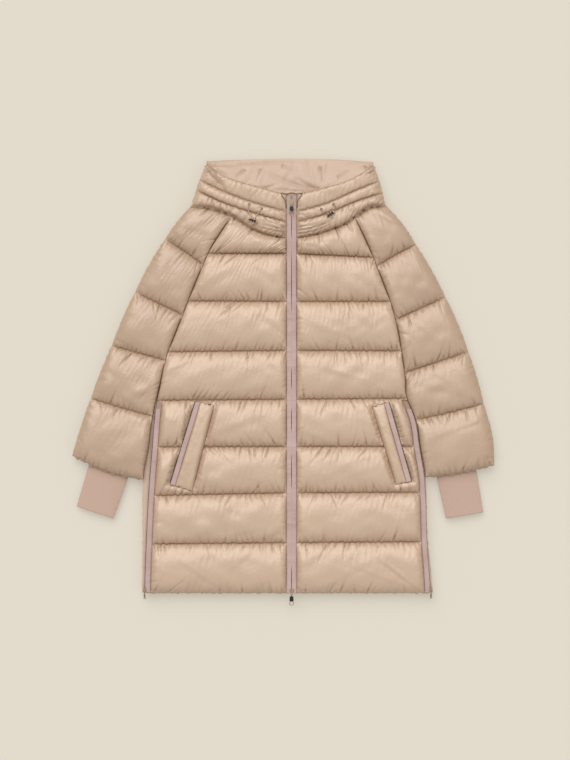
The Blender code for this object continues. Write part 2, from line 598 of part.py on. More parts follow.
def make_slider(name, size):
    """A slider's wedge with two lugs, and its pull, which hangs on a pin between them."""
    x, y, foot, width, length, pull_width, pull_length, droop = size
    half, tall, lug = width / 2, 3.0, 1.1
    hinge = foot + tall + 1.9
    tail, shoulder, head = y + 1.5, y + 1.5 + length * 0.55, y + length
    right_half = [(half * 0.62, tail), (half, shoulder), (half * 0.7, head)]
    outline = [(x + dx, at) for dx, at in right_half] + [(x - dx, at) for dx, at in right_half[::-1]]
    body = prism(f"{name}_slider", outline, foot, foot + tall, "metal")
    clear = 1.3
    for sign in (-1, 1):
        near, far = x + sign * clear, x + sign * (clear + lug)
        ends = (min(near, far), max(near, far))
        cheek = prism("lug", [(ends[0], y - 1.6), (ends[1], y - 1.6), (ends[1], y + 3.2),
                              (ends[0], y + 3.2)], foot + 1.0, hinge + 1.6, "metal")
        combine(body, cheek, "UNION")
    make_pull(f"{name}_pull", (x, y, hinge), clear - GAP, pull_width, pull_length, droop)


def make_pull(name, hinge, half_pin, width, length, droop):
    """A zip's pull: a barrel on the hinge, a neck, a bar and a ring, with the hinge as origin."""
    thick, neck, barrel = 1.4, half_pin, 1.0
    half, ring = width / 2, width / 2
    bar_end = -(length - 2 * ring - 0.5)
    outline = [(-neck, 0), (-neck, -3.6), (-half, -4.6), (-half, bar_end)]
    turn = np.linspace(math.pi, 2 * math.pi, 9)
    outline += [(ring * math.cos(a), bar_end - ring + ring * math.sin(a)) for a in turn]
    outline += [(half, bar_end), (half, -4.6), (neck, -3.6), (neck, 0)]
    pull = prism(name, outline, -thick / 2, thick / 2, "enamel")
    sides = 12
    turns = [2 * math.pi * k / sides for k in range(sides)]
    pin = prism("pin", [(barrel * math.cos(a), barrel * math.sin(a)) for a in turns],
                -neck, neck, "metal")
    pin.data.transform(Matrix.Rotation(math.pi / 2, 4, "Y"))
    combine(pull, pin, "UNION")
    hole = prism("hole", [(0.5 * ring * math.cos(a), bar_end - ring + 0.5 * ring * math.sin(a))
                          for a in turns], -thick, thick, "metal")
    combine(pull, hole, "DIFFERENCE")
    pull.data.transform(Matrix.Rotation(math.radians(droop), 4, "X"))
    pull.location = Vector(hinge) * MM


# --------------------------------------------------------------------------- the pockets
def make_pocket(side, corners, front):
    """A welt set into the front, with a tape on its outer edge and teeth beside that."""
    outer_foot, inner_foot, inner_top, outer_top = (np.array(c, float) for c in corners)
    foot, top = (inner_foot - outer_foot), (inner_top - outer_top)
    foot, top = foot / np.linalg.norm(foot), top / np.linalg.norm(top)
    length = (outer_top - outer_foot) / np.linalg.norm(outer_top - outer_foot)
    beside = WELT_TEETH + 2 * GAP
    margin = 2 * GAP
    recess = [outer_foot - foot * (beside + margin) - length * margin,
              inner_foot + foot * margin - length * margin,
              inner_top + top * margin + length * margin,
              outer_top - top * (beside + margin) + length * margin]
    cutter = prism("recess", [tuple(p) for p in recess], RECESS_FLOOR, 90, "shell")
    combine(front, cutter, "DIFFERENCE")
    low = RECESS_FLOOR + GAP
    rows = [(outer_foot, inner_foot), (outer_top, inner_top)]
    if side == "right":
        rows = [row[::-1] for row in rows]
    order = slice(None) if side == "left" else slice(None, None, -1)
    wall(f"pocket_{side}_welt", rows, "shell", plain=low, seam=WELT_END, rise=WELT_PUFF,
         across_steps=6, ledges=(WELT_TAPE, 0)[order],
         ledge_walls=(WELT_LEDGE_WALL, EDGE)[order], rounds=(7, 9)[order],
         shares=(0.03, 0.08, 0.2, 0.4, 0.6, 0.8, 0.92, 0.97))
    face = low + WELT_LEDGE_WALL + GAP
    tape = [outer_foot + foot * 0.2, outer_foot + foot * (WELT_TAPE - GAP),
            outer_top + top * (WELT_TAPE - GAP), outer_top + top * 0.2]
    prism(f"pocket_{side}_tape", [tuple(p) for p in tape], face, face + TAPE, "tape")
    teeth = [outer_foot - foot * beside, outer_foot - foot * GAP,
             outer_top - top * GAP, outer_top - top * beside]
    prism(f"pocket_{side}_teeth", [tuple(p) for p in teeth], low, face + 0.3, "teeth")


# ------------------------------------------------------------------------------ assembly
def centre_on_origin():
    """Move everything so that the origin is at the bottom centre of the whole coat."""
    bpy.context.view_layer.update()
    graph = bpy.context.evaluated_depsgraph_get()
    low, high = np.full(3, np.inf), np.full(3, -np.inf)
    parts = [o for o in bpy.context.scene.objects if o.type in {"MESH", "CURVE"}]
    for part in parts:
        shape = part.evaluated_get(graph)
        mesh = shape.to_mesh()
        points = np.array([part.matrix_world @ v.co for v in mesh.vertices])
        low, high = np.minimum(low, points.min(axis=0)), np.maximum(high, points.max(axis=0))
        shape.to_mesh_clear()
    middle = Vector(((low[0] + high[0]) / 2, (low[1] + high[1]) / 2, low[2]))
    for part in parts:
        part.location -= middle
    bpy.context.view_layer.update()


def main():
    for leftover in list(bpy.data.objects):
        bpy.data.objects.remove(leftover)
    make_back()
    front_left, front_right = make_fronts()
    make_sleeve("left", SLEEVE_OUTER_L, BACK_SIDE_L, SLEEVE_SEAMS_L, HOOD_EDGE_L, BACK_SIDE_L[-1][0])
    make_sleeve("right", SLEEVE_OUTER_R, BACK_SIDE_R, SLEEVE_SEAMS_R, HOOD_EDGE_R, BACK_SIDE_R[-1][0])
    make_cuffs()
    make_hood()
    make_front_zip()
    make_side_zips()
    make_pocket("left", WELT_L, front_left)
    make_pocket("right", WELT_R, front_right)
    for name, size in SLIDERS.items():
        make_slider(name, size)
    for side in DRAWCORDS:
        make_drawcord(side, surface_under(bpy.data.objects[f"hood_front_{side}"]))
    centre_on_origin()


main()
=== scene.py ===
"""A long hooded down coat, laid flat on its back with its zip closed: its cloth, zips and finishes.

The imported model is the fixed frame. Tables are in millimetres from the foot of the front zip,
+X to the right of someone who looks down on the coat's front and +Y towards the hood, and every
mesh is written in metres in the frame's own place. Each padded piece is a grid over its rows of
quilting seams. Formulas lay its gathers, drapes and folds in it, its cloth is cut a little longer
than that form, and a small cloth solver settles it over its filling.
"""
from __future__ import annotations

import logging
import math
from dataclasses import dataclass, field
from enum import Enum
from typing import Callable, Sequence

import bpy
import numpy as np
from mathutils import Matrix, Vector
from mathutils.bvhtree import BVHTree


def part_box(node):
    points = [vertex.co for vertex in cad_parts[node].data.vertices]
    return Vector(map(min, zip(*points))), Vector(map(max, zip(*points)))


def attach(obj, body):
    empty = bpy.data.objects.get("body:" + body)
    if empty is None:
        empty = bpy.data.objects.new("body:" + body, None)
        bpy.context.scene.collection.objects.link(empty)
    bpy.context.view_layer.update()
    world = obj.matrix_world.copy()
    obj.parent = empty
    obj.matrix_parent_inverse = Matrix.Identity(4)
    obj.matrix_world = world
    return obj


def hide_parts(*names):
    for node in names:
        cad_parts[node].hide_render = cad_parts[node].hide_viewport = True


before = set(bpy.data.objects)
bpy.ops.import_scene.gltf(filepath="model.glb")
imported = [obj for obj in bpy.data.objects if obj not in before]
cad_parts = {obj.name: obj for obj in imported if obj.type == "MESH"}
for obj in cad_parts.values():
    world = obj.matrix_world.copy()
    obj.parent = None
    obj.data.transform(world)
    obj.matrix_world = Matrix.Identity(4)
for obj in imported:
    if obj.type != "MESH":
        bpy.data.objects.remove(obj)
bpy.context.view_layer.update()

LOG = logging.getLogger("coat")
Line = Sequence[tuple[float, float]]

MM = 0.001

# ---------------- sizes of the coat, mm
GAP = 0.3  # clearance between pieces that touch
MID = 20.0  # height of the plain face where the back and the front meet
FRONT = MID + GAP  # height of the front pieces' plain face
# Walls of the padded pieces at their seams, and how far they rise between two seams.
BAFFLE_SEAM, BAFFLE_PUFF = 6.0, 19.0
SLEEVE_PUFF = 17.0
BACK_SEAM, BACK_PUFF = 14.5, 16.0
BACK_EDGE = 8.0  # wall of a back piece at its side
EDGE = 4.5  # wall of a front piece at a side without a ledge
RAGLAN_EDGE = 11.0  # wall of a sleeve's front at its seam with the body
SIDE_ROUND, SEAM_ROUND = 30.0, 15.0  # how wide a side rounds down, open and stitched
SCALLOP = 1.8  # how far a sleeve's baffles swell past its outer edge
# The flat ledges that carry the zips: width, wall and, where it ends, height of its top.
ZIP_LEDGE, ZIP_LEDGE_WALL, ZIP_TOP = 10.2, 11.0, 827.0
SIDE_LEDGE, SIDE_LEDGE_WALL, SIDE_LEDGE_TOP = 10.0, 7.0, 401.0
SIDE_ZIP_TOP, SIDE_TEETH_TOP_R = 384.0, 350.0
TAPE = 1.1  # thickness of a zip tape
RIM_EASE, NECK_EASE, NECK_GAP = 1.2, 1.8, 0.9  # room round the hood's back and its fronts
CUFF_WALL, CUFF_HALF, CUFF_Z = 2.2, 4.2, 12.5  # wall, half height, height of the middle
RIB_RISE = 0.35  # how far a rib stands off a cuff
# A pocket's welt: width of its tape, walls at the tape and at its ends, rise, width of teeth.
WELT_TAPE, WELT_LEDGE_WALL, WELT_END, WELT_PUFF, WELT_TEETH = 9.0, 9.5, 8.0, 9.0, 1.8
RECESS_FLOOR = FRONT + BAFFLE_SEAM + 0.6
ZIP_FACE = FRONT + ZIP_LEDGE_WALL + GAP
SIDE_FACE = FRONT + SIDE_LEDGE_WALL + GAP
CORD_RADIUS = 1.1
CORDS_APART = 5.0  # where they go into the lock
EYELET_OUTER, EYELET_INNER, EYELET_TALL = 2.9, 1.6, 0.9
LOCK_SIZE = (13.5, 7.0, 6.0)  # across the cords, along them, height
BACK_STEP = 3.4  # distance between the grid points of a back piece
THREAD_INSET = 1.6  # from a ledge's edge to the thread along its tape
SIDE_CREASE, WELT_CREASE = 60.0, 16.0  # longest creases at a side and round a pocket's welt

BACK_SIDE_L = ((-312, 0), (-311, 106), (-311, 205), (-309.5, 240), (-298, 305), (-290, 370),
               (-282.5, 402), (-272, 444), (-263.5, 484), (-238.4, 550), (-215.5, 609),
               (-197.8, 652), (-173.9, 708), (-124, 787))
BACK_SIDE_R = ((295, 0), (289, 66), (284.6, 106), (281.4, 205), (280, 240), (268.8, 305),
               (261.5, 354), (250, 385), (240.5, 406), (237, 450), (229, 505), (218.4, 564),
               (205.2, 610), (196.4, 633), (168.6, 704), (131, 785))
FRONT_SIDE_L = ((-305, 0), (-301.4, 102), (-296.5, 203), (-289, 304), (-283.5, 370),
                (-280, 402), (-275.5, 425)) + BACK_SIDE_L[7:]
FRONT_SIDE_R = ((288.8, 0), (281.5, 106), (278.2, 205), (276, 240), (265.6, 305),
                (258.2, 354), (248.5, 385)) + BACK_SIDE_R[8:]
SLEEVE_OUTER_L = ((-208.3, 807.5), (-238.4, 772), (-262.9, 737.5), (-325.5, 627), (-374.2, 515.6),
                  (-417.7, 405.5), (-456.8, 286.2))
SLEEVE_OUTER_R = ((194.3, 809.6), (227.9, 772), (258.3, 726.4), (319.8, 617), (367.5, 503),
                  (400, 394.4), (417.9, 322.4), (422.1, 266.7))
HOOD_EDGE_L = ((-208.3, 807.5), (-167, 803.7), (-124, 788), (-75.8, 757.5), (-45, 746.6),
               (-12, 741.5), (0, 741))
HOOD_EDGE_R = ((0, 741), (13.7, 742), (50.6, 748.7), (76.4, 756.8), (108.6, 770), (131, 785),
               (156.5, 804), (194.3, 810.2))
HOOD_RIM = ((-178.1, 893), (-141.8, 869.4), (-76.7, 848.4), (0, 831.8), (72.5, 845.3),
            (129.2, 864.2), (171.2, 891))
HOOD_CROWN = ((-177, 902), (-108, 905), (1, 907.5), (102, 905), (170, 900))
BACK_NECK = ((-124, 787), (131, 785))
# One row for each seam of the body, hem first: its height at the left edge, zip, right edge.
BODY_SEAMS = (
    # left, zip, right
    (0, 0, 0),
    (102, 105, 107),
    (203, 209, 210),
    (304.5, 305.5, 305.5),
    (402, 404, 406),
    (503, 506, 505),
    (609, 608, 608),
    (708, 708.5, 700),
)
# One row for each seam of a sleeve, hem first: height at the outer and inner edge, and sag.
SLEEVE_SEAMS_L = (
    # outer, inner, sag
    (286.2, 236.5, 8.0),
    (405.5, 368.6, 1.0),
    (515.6, 485.3, 0.0),
    (627.0, 580.0, 0.0),
    (737.5, 684.6, -2.0),
)
SLEEVE_SEAMS_R = (
    (266.7, 242.0, 3.0),
    (394.4, 361.0, 1.0),
    (503.0, 459.5, 0.0),
    (617.0, 570.0, 0.0),
    (726.4, 681.5, -2.0),
)
# The two stitched lines of the hood's cord channel, lower line first, on each side.
HOOD_LINES_L = (
    ((-198.5, 839.8), (-146, 814.8), (-76.7, 791.7), (0, 770.5)),
    ((-191.5, 861.0), (-146, 839.0), (-76.7, 813.3), (0, 792.5)),
)
HOOD_LINES_R = (
    ((0, 770.5), (72.5, 790.7), (139.7, 818.0), (189.6, 833.9)),
    ((0, 792.5), (72.5, 812.1), (131.3, 838.1), (182.7, 858.7)),
)
# For each cuff: its two x at the sleeve's hem, outer edge first, and its free end's corners.
CUFF_L = ((-423.6, -340.8), ((-449.8, 179.6), (-372.8, 154.4)))
CUFF_R = ((386.6, 303.2), ((401.5, 167.4), (323.2, 154.4)))
# Corners of each pocket welt: outer foot, inner foot, inner top, outer top.
WELT_L = ((-251.0, 227.2), (-206.9, 212.5), (-161.3, 390.6), (-198.7, 399.2))
WELT_R = ((248.0, 233.9), (217.4, 226.6), (167.8, 387.2), (201.2, 398.0))
# For each side: two eyelets, the lock's middle and turn, and the points its two cords pass.
DRAWCORDS = {
    "left": {
        "eyelets": ((-88.2, 809.3), (-62.4, 800.5)),
        "lock": (-80.6, 775.5), "turn": -20.0,
        "by": (((-90.4, 800.5), (-87.6, 790.0)), ((-68.0, 793.5), (-74.0, 784.0))),
    },
    "right": {
        "eyelets": ((62.0, 799.1), (87.2, 809.4)),
        "lock": (80.6, 788.2), "turn": 33.0,
        "by": (((64.5, 792.5), (69.0, 788.0)), ((92.5, 803.0), (92.0, 797.5))),
    },
}

TEETH_LOW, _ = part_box("front_zip_teeth")
ORIGIN = np.array((TEETH_LOW.x + 2.0 * MM, TEETH_LOW.y - 1.0 * MM, 0.0))  # foot of the front zip


def to_frame(points: np.ndarray) -> np.ndarray:
    """Points in millimetres from the foot of the front zip, in metres in the frame."""
    return np.asarray(points, float) * MM + ORIGIN


# ---------------- lines
def smooth_line(points: Line, shares: np.ndarray) -> np.ndarray:
    """Points at shares 0 to 1 of a Catmull-Rom line through the given points.

    Args:
        points: the points that the line passes, in two or three dimensions.
        shares: how far along the line's chords each wanted point lies.

    Returns:
        One row for each share. Between two points the line is the cubic whose slopes at both
        are those of the chords beside them.
    """
    pts = np.asarray(points, float)
    shares = np.asarray(shares, float)
    if len(pts) == 2:
        return pts[0] + (pts[1] - pts[0]) * shares[:, None]
    knots = np.concatenate(([0.0], np.cumsum(np.linalg.norm(np.diff(pts, axis=0), axis=1))))
    slopes = np.gradient(pts, knots, axis=0)
    at = shares * knots[-1]
    i = np.clip(np.searchsorted(knots, at, side="right") - 1, 0, len(pts) - 2)
    span = (knots[i + 1] - knots[i])[:, None]
    t = (at - knots[i])[:, None] / span
    near, far = pts[i], pts[i + 1]
    return ((2 * t**3 - 3 * t**2 + 1) * near + (t**3 - 2 * t**2 + t) * span * slopes[i]
            + (3 * t**2 - 2 * t**3) * far + (t**3 - t**2) * span * slopes[i + 1])


def edge_x(edge: Line, heights: np.ndarray) -> np.ndarray:
    """The x of an edge line at the given heights."""
    fine = smooth_line(edge, np.linspace(0, 1, 600))
    order = np.argsort(fine[:, 1])
    return np.interp(heights, fine[order, 1], fine[order, 0])


def stretch(line: Line, x_from: float, x_to: float, lift: float, count: int = 7) -> list:
    """A few points of a line that runs across the coat, between two x, moved up by lift."""
    fine = smooth_line(line, np.linspace(0, 1, 600))
    xs = np.linspace(x_from, x_to, count)
    return [(x, float(np.interp(x, fine[:, 0], fine[:, 1])) + lift) for x in xs]


def across(edge_a: Line, edge_b: Line, height_a: float, height_b: float, sag: float = 0.0) -> list:
    """A seam from one edge line to another, with its middle sagging below the straight."""
    a = np.array((edge_x(edge_a, height_a), height_a), float)
    b = np.array((edge_x(edge_b, height_b), height_b), float)
    return [a, (a + b) / 2 - (0, sag), b]


def moved(line: Line, dx: float, dy: float = 0.0) -> tuple:
    """A line moved sideways and up."""
    return tuple((x + dx, y + dy) for x, y in line)


def puff(f: np.ndarray) -> np.ndarray:
    """Rise of a baffle at share f between its seams: steep at both, and broad between."""
    return (1 - np.abs(2 * f - 1) ** 2.4) ** 0.62


def rounding(distance: np.ndarray, radius: float) -> np.ndarray:
    """Quarter-round from 0 at an edge to 1 at the radius."""
    return np.sqrt(1 - (1 - np.clip(distance / radius, 0, 1)) ** 2)


# ---------------- meshes
def make_object(name: str, mesh: bpy.types.Mesh, finish: bpy.types.Material) -> bpy.types.Object:
    """Put a mesh in the scene under a name and a finish."""
    mesh.materials.append(finish)
    piece = bpy.data.objects.new(name, mesh)
    bpy.context.scene.collection.objects.link(piece)
    return piece


def mesh_from(name: str, points: np.ndarray, faces: list, finish: bpy.types.Material,
              sharp: float | None = None) -> bpy.types.Object:
    """An object from points in millimetres and faces.

    Args:
        name: the piece's name.
        points: its points, from the foot of the front zip.
        faces: rows of point numbers, three or more in each.
        finish: its material.
        sharp: the angle in degrees past which an edge is shaded sharp, or None for none.

    Returns:
        The object, at the origin.
    """
    mesh = bpy.data.meshes.new(name)
    mesh.from_pydata(to_frame(points).tolist(), [], faces)
    mesh.shade_smooth()
    if sharp is not None:
        mesh.set_sharp_from_angle(angle=math.radians(sharp))
    return make_object(name, mesh, finish)


def grid_faces(index: np.ndarray) -> np.ndarray:
    """Quads over a grid of point numbers, wound to face up where rows go up and columns right."""
    corners = (index[:-1, :-1], index[:-1, 1:], index[1:, 1:], index[1:, :-1])
    return np.stack(corners, -1).reshape(-1, 4)


def rim_of(index: np.ndarray) -> np.ndarray:
    """The point numbers round a grid: along the foot, up the right, back along the top, down."""
    return np.concatenate((index[0, :-1], index[:-1, -1], index[-1, :0:-1], index[:0:-1, 0]))


def normals_of(points: np.ndarray) -> np.ndarray:
    """The unit normal at each point of a grid, from its neighbours on either side."""
    padded = np.pad(points, ((1, 1), (1, 1), (0, 0)), mode="edge")
    normal = np.cross(padded[1:-1, 2:] - padded[1:-1, :-2], padded[2:, 1:-1] - padded[:-2, 1:-1])
    return normal / np.maximum(np.linalg.norm(normal, axis=2, keepdims=True), 1e-9)


def surface_under(*pieces: bpy.types.Object) -> Callable[[float, float], float]:
    """A function that gives the highest z, in millimetres, of some pieces over a point."""
    graph = bpy.context.evaluated_depsgraph_get()
    trees = [BVHTree.FromObject(piece, graph) for piece in pieces]

    def height(x: float, y: float) -> float:
        """The z of the highest piece at x, y, or -inf where none lies."""
        start = Vector(to_frame((x, y, 0)))
        start.z = 1.0
        hits = [tree.ray_cast(start, Vector((0, 0, -1)))[0] for tree in trees]
        return max((hit.z / MM for hit in hits if hit), default=-math.inf)

    return height


# ---------------- shaders
class Value:
    """A number that varies over a surface, with arithmetic that adds Math nodes."""

    def __init__(self, graph: "Graph", socket: bpy.types.NodeSocket) -> None:
        """Wrap one output socket of a graph."""
        self.graph = graph
        self.socket = socket

    def _math(self, operation: str, *values: "Value | float") -> "Value":
        """The result of a Math node on some values."""
        sockets = {i: value for i, value in enumerate(values)}
        return self.graph.add("ShaderNodeMath", {"operation": operation}, sockets)

    def __add__(self, other: "Value | float") -> "Value":
        """This value plus another."""
        return self._math("ADD", self, other)

    def __sub__(self, other: "Value | float") -> "Value":
        """This value less another."""
        return self._math("SUBTRACT", self, other)

    def __rsub__(self, other: "Value | float") -> "Value":
        """Another value less this."""
        return self._math("SUBTRACT", other, self)

    def __mul__(self, other: "Value | float") -> "Value":
        """This value times another."""
        return self._math("MULTIPLY", self, other)

    def __pow__(self, power: float) -> "Value":
        """This value to a power."""
        return self._math("POWER", self, power)

    def __abs__(self) -> "Value":
        """This value without its sign."""
        return self._math("ABSOLUTE", self)


class Graph:
    """The node tree of one material, with its Principled shader."""

    def __init__(self, name: str) -> None:
        """Start a material of this name."""
        self.material = bpy.data.materials.new(name)
        self.material.use_nodes = True
        self.nodes = self.material.node_tree.nodes
        self.links = self.material.node_tree.links
        self.shader = self.nodes["Principled BSDF"]

    def add(self, kind: str, settings: dict | None = None, inputs: dict | None = None,
            output: int | str = 0) -> Value:
        """Add one node.

        Args:
            kind: the node's type.
            settings: its properties; "stops" is a ramp's list of positions and colours.
            inputs: its sockets, by name or number, each a number, a colour or a Value.
            output: which of its outputs to return.

        Returns:
            The chosen output.
        """
        node = self.nodes.new(kind)
        for key, setting in (settings or {}).items():
            if key == "stops":
                ramp = node.color_ramp.elements
                for k, (position, colour) in enumerate(setting):
                    stop = ramp[k] if k < 2 else ramp.new(position)
                    stop.position = position
                    stop.color = (*colour, 1)
            else:
                setattr(node, key, setting)
        for key, value in (inputs or {}).items():
            self.set(node.inputs[key], value)
        return Value(self, node.outputs[output])

    def set(self, socket: bpy.types.NodeSocket, value: "Value | float | tuple") -> None:
        """Link a Value to a socket, or give the socket a number or a colour."""
        if isinstance(value, Value):
            self.links.new(value.socket, socket)
        elif isinstance(value, tuple) and len(value) == 3 and socket.type == "RGBA":
            socket.default_value = (*value, 1)
        else:
            socket.default_value = value

    def place(self, turn: float = 0.0) -> Value:
        """Object coordinates, turned about Z by degrees."""
        coordinates = self.add("ShaderNodeTexCoord", output="Object")
        return self.add("ShaderNodeMapping", None, {
            "Vector": coordinates, "Rotation": (0, 0, math.radians(turn))})

    def noise(self, scale: float, detail: float = 2.0, distortion: float = 0.0) -> Value:
        """Cloudy noise, from 0 to 1, on Object coordinates."""
        return self.add("ShaderNodeTexNoise", None, {
            "Vector": self.place(), "Scale": scale, "Detail": detail, "Distortion": distortion})

    def bands(self, pitch: float, turn: float = 0.0) -> Value:
        """Even waves of a pitch in metres across X, turned about Z by degrees."""
        period = 2 * math.pi / 20  # length of one wave at Scale 1
        return self.add("ShaderNodeTexWave", {"bands_direction": "X"},
                        {"Vector": self.place(turn), "Scale": period / pitch}, "Fac")

    def mix(self, share: "Value | float", first: "Value | tuple", second: "Value | tuple") -> Value:
        """A colour between two."""
        return self.add("ShaderNodeMix", {"data_type": "RGBA"}, {0: share, 6: first, 7: second}, 2)

    def bump(self, height: Value, distance: float, strength: float,
             normal: Value | None = None) -> Value:
        """A normal tilted by a height, of a distance in metres."""
        inputs = {"Height": height, "Distance": distance, "Strength": strength}
        if normal is not None:
            inputs["Normal"] = normal
        return self.add("ShaderNodeBump", None, inputs)

    def finish(self, **sockets: "Value | float | tuple") -> bpy.types.Material:
        """Set the shader's sockets, named with _ for a space, and return the material."""
        for name, value in sockets.items():
            self.set(self.shader.inputs[name.replace("_", " ")], value)
        return self.material


@dataclass(frozen=True)
class Satin:
    """Thin satin nylon over down: two close tones, fine creases and a plain weave."""

    name: str
    light: tuple = (0.560, 0.402, 0.285)
    deep: tuple = (0.500, 0.350, 0.242)
    rough: float = 0.37
    crease: float = 0.20
    lustre: float = 0.07
    seam_and_shade: tuple = (0.190, 0.108, 0.062)  # its tone along a seam, partly painted shade, and its painted shade in creases and under the hood's hem

    def build(self) -> bpy.types.Material:
        """Make the material. The attribute it reads is 0 on plain cloth and rises in its seams,
        partly as painted shade, and in creases and under the hood's hem as painted shade.
        """
        graph = Graph(self.name)
        seam_and_shade = graph.add("ShaderNodeAttribute", {"attribute_name": "seam_and_shade"}, None, "Fac")
        patches = graph.noise(9.0, 3.0)
        creases = graph.noise(70.0, 3.0, 0.9)
        ridges = 1 - abs(creases * 2 - 1)
        weave = graph.bands(0.0007) + graph.bands(0.0007, 90)
        normal = graph.bump(ridges ** 3.0, 0.0012, self.crease)
        normal = graph.bump(weave, 0.00006, 0.35, normal)
        tone = graph.mix(seam_and_shade, graph.mix(patches, self.deep, self.light), self.seam_and_shade)
        return graph.finish(Base_Color=tone, Roughness=creases * 0.10 + (self.rough - 0.05),
                            Normal=normal, Metallic=self.lustre, Specular_IOR_Level=0.8)


@dataclass(frozen=True)
class Knit:
    """Ribbed knit: painted darker between its wales as shade, with a fuzzy yarn and a bump for each
    course.
    """

    name: str
    light: tuple = (0.520, 0.365, 0.285)
    deep: tuple = (0.440, 0.300, 0.232)

    def build(self) -> bpy.types.Material:
        """Make the material. The wale attribute is 1 on a rib's crown and 0 between ribs."""
        graph = Graph(self.name)
        wale = graph.add("ShaderNodeAttribute", {"attribute_name": "wale"}, None, "Fac")
        yarn = graph.noise(1400.0, 2.0)
        patches = graph.noise(30.0, 2.0)
        loops = graph.add("ShaderNodeAttribute", {"attribute_name": "course"}, None, "Fac")
        normal = graph.bump(loops + yarn * 0.5, 0.00015, 0.5)
        # painted shade: the knit is darker between its ribs
        tone = wale * 0.6 + patches * 0.25 + yarn * 0.15
        return graph.finish(Base_Color=graph.mix(tone, self.deep, self.light), Roughness=0.88,
                            Normal=normal, Sheen_Weight=0.3, Sheen_Roughness=0.6)


@dataclass(frozen=True)
class Ribbon:
    """Woven tape: cross ribs of a pitch, with a faint sheen."""

    name: str
    light: tuple = (0.570, 0.425, 0.395)
    deep: tuple = (0.350, 0.225, 0.200)
    pitch: float = 0.0011
    turn: float = 90.0

    def build(self) -> bpy.types.Material:
        """Make the material."""
        graph = Graph(self.name)
        ribs = graph.bands(self.pitch, self.turn)
        patches = graph.noise(28.0, 3.0)
        normal = graph.bump(ribs, 0.00012, 0.5)
        tone = patches * 0.8 + ribs * 0.2
        return graph.finish(Base_Color=graph.mix(tone, self.deep, self.light), Roughness=0.55,
                            Normal=normal, Sheen_Weight=0.2, Sheen_Roughness=0.4)


@dataclass(frozen=True)
class Metal:
    """Cast metal with a soft polish and dull patches."""

    name: str
    colour: tuple = (0.52, 0.42, 0.25)
    dull: tuple = (0.24, 0.18, 0.10)
    rough: float = 0.24

    def build(self) -> bpy.types.Material:
        """Make the material."""
        graph = Graph(self.name)
        patches = graph.noise(500.0, 3.0)
        return graph.finish(Base_Color=graph.mix(patches, self.dull, self.colour),
                            Roughness=patches * 0.12 + (self.rough - 0.06), Metallic=1.0,
                            Normal=graph.bump(graph.noise(1500.0), 0.00004, 0.3))


@dataclass(frozen=True)
class Enamel:
    """Dark enamel, thinner and paler in places."""

    name: str
    colour: tuple = (0.006, 0.006, 0.006)
    worn: tuple = (0.022, 0.020, 0.018)

    def build(self) -> bpy.types.Material:
        """Make the material."""
        graph = Graph(self.name)
        patches = graph.noise(400.0, 3.0)
        return graph.finish(Base_Color=graph.mix(patches, self.colour, self.worn),
                            Roughness=patches * 0.10 + 0.30, Specular_IOR_Level=0.35)


@dataclass(frozen=True)
class Braid:
    """Braided cord or sewing thread."""

    name: str
    light: tuple = (0.640, 0.470, 0.350)
    deep: tuple = (0.420, 0.285, 0.200)
    pitch: float = 0.0009

    def build(self) -> bpy.types.Material:
        """Make the material."""
        graph = Graph(self.name)
        strands = graph.bands(self.pitch, 40) * graph.bands(self.pitch, -40)
        normal = graph.bump(strands, 0.0002, 0.6)
        return graph.finish(Base_Color=graph.mix(strands, self.deep, self.light), Roughness=0.7,
                            Normal=normal)


class Finish(Enum):
    """The coat's finishes, each built once."""

    SHELL = Satin("shell_satin")
    # The sleeves' satin is the body's, painted darker: painted shade for their slanted grain, which
    # catches less of the light.
    SLEEVE = Satin("sleeve_satin", (0.505, 0.358, 0.250), (0.430, 0.296, 0.202))
    LINING = Satin("hood_lining", (0.545, 0.392, 0.290), (0.470, 0.330, 0.240), 0.50, 0.15, 0.04)
    RIB = Knit("cuff_knit")
    TAPE = Ribbon("zip_tape")
    BINDING = Ribbon("zip_binding", (0.190, 0.110, 0.070), (0.130, 0.072, 0.046))
    TEETH = Metal("zip_teeth", (0.30, 0.24, 0.14), (0.10, 0.08, 0.05), 0.34)
    METAL = Metal("slider_metal")
    DARK_METAL = Metal("eyelet_metal", (0.26, 0.19, 0.13), (0.10, 0.07, 0.05), 0.30)
    ENAMEL = Enamel("pull_enamel")
    CORD = Braid("drawcord_braid")
    THREAD = Braid("seam_thread", (0.520, 0.350, 0.235), (0.420, 0.275, 0.180), 0.0006)

    @property
    def material(self) -> bpy.types.Material:
        """The finish's material, made the first time it is asked for."""
        found = bpy.data.materials.get(self.value.name)
        return found or self.value.build()


class Slot(str, Enum):
    """The coat's material slots."""

    SHELL = "shell"
    LINING = "lining"
    RIB = "rib"
    TAPE = "tape"
    TEETH = "teeth"
    METAL = "metal"
    ENAMEL = "enamel"
    CORD = "cord"


def on_coat(piece: bpy.types.Object, slot: Slot, *nodes: str) -> bpy.types.Object:
    """Let a piece ride on the coat and stand for some nodes, and report it."""
    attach(piece, "coat")
    if nodes:
        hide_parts(*nodes)
    LOG.info("%s", piece.name)
    return piece


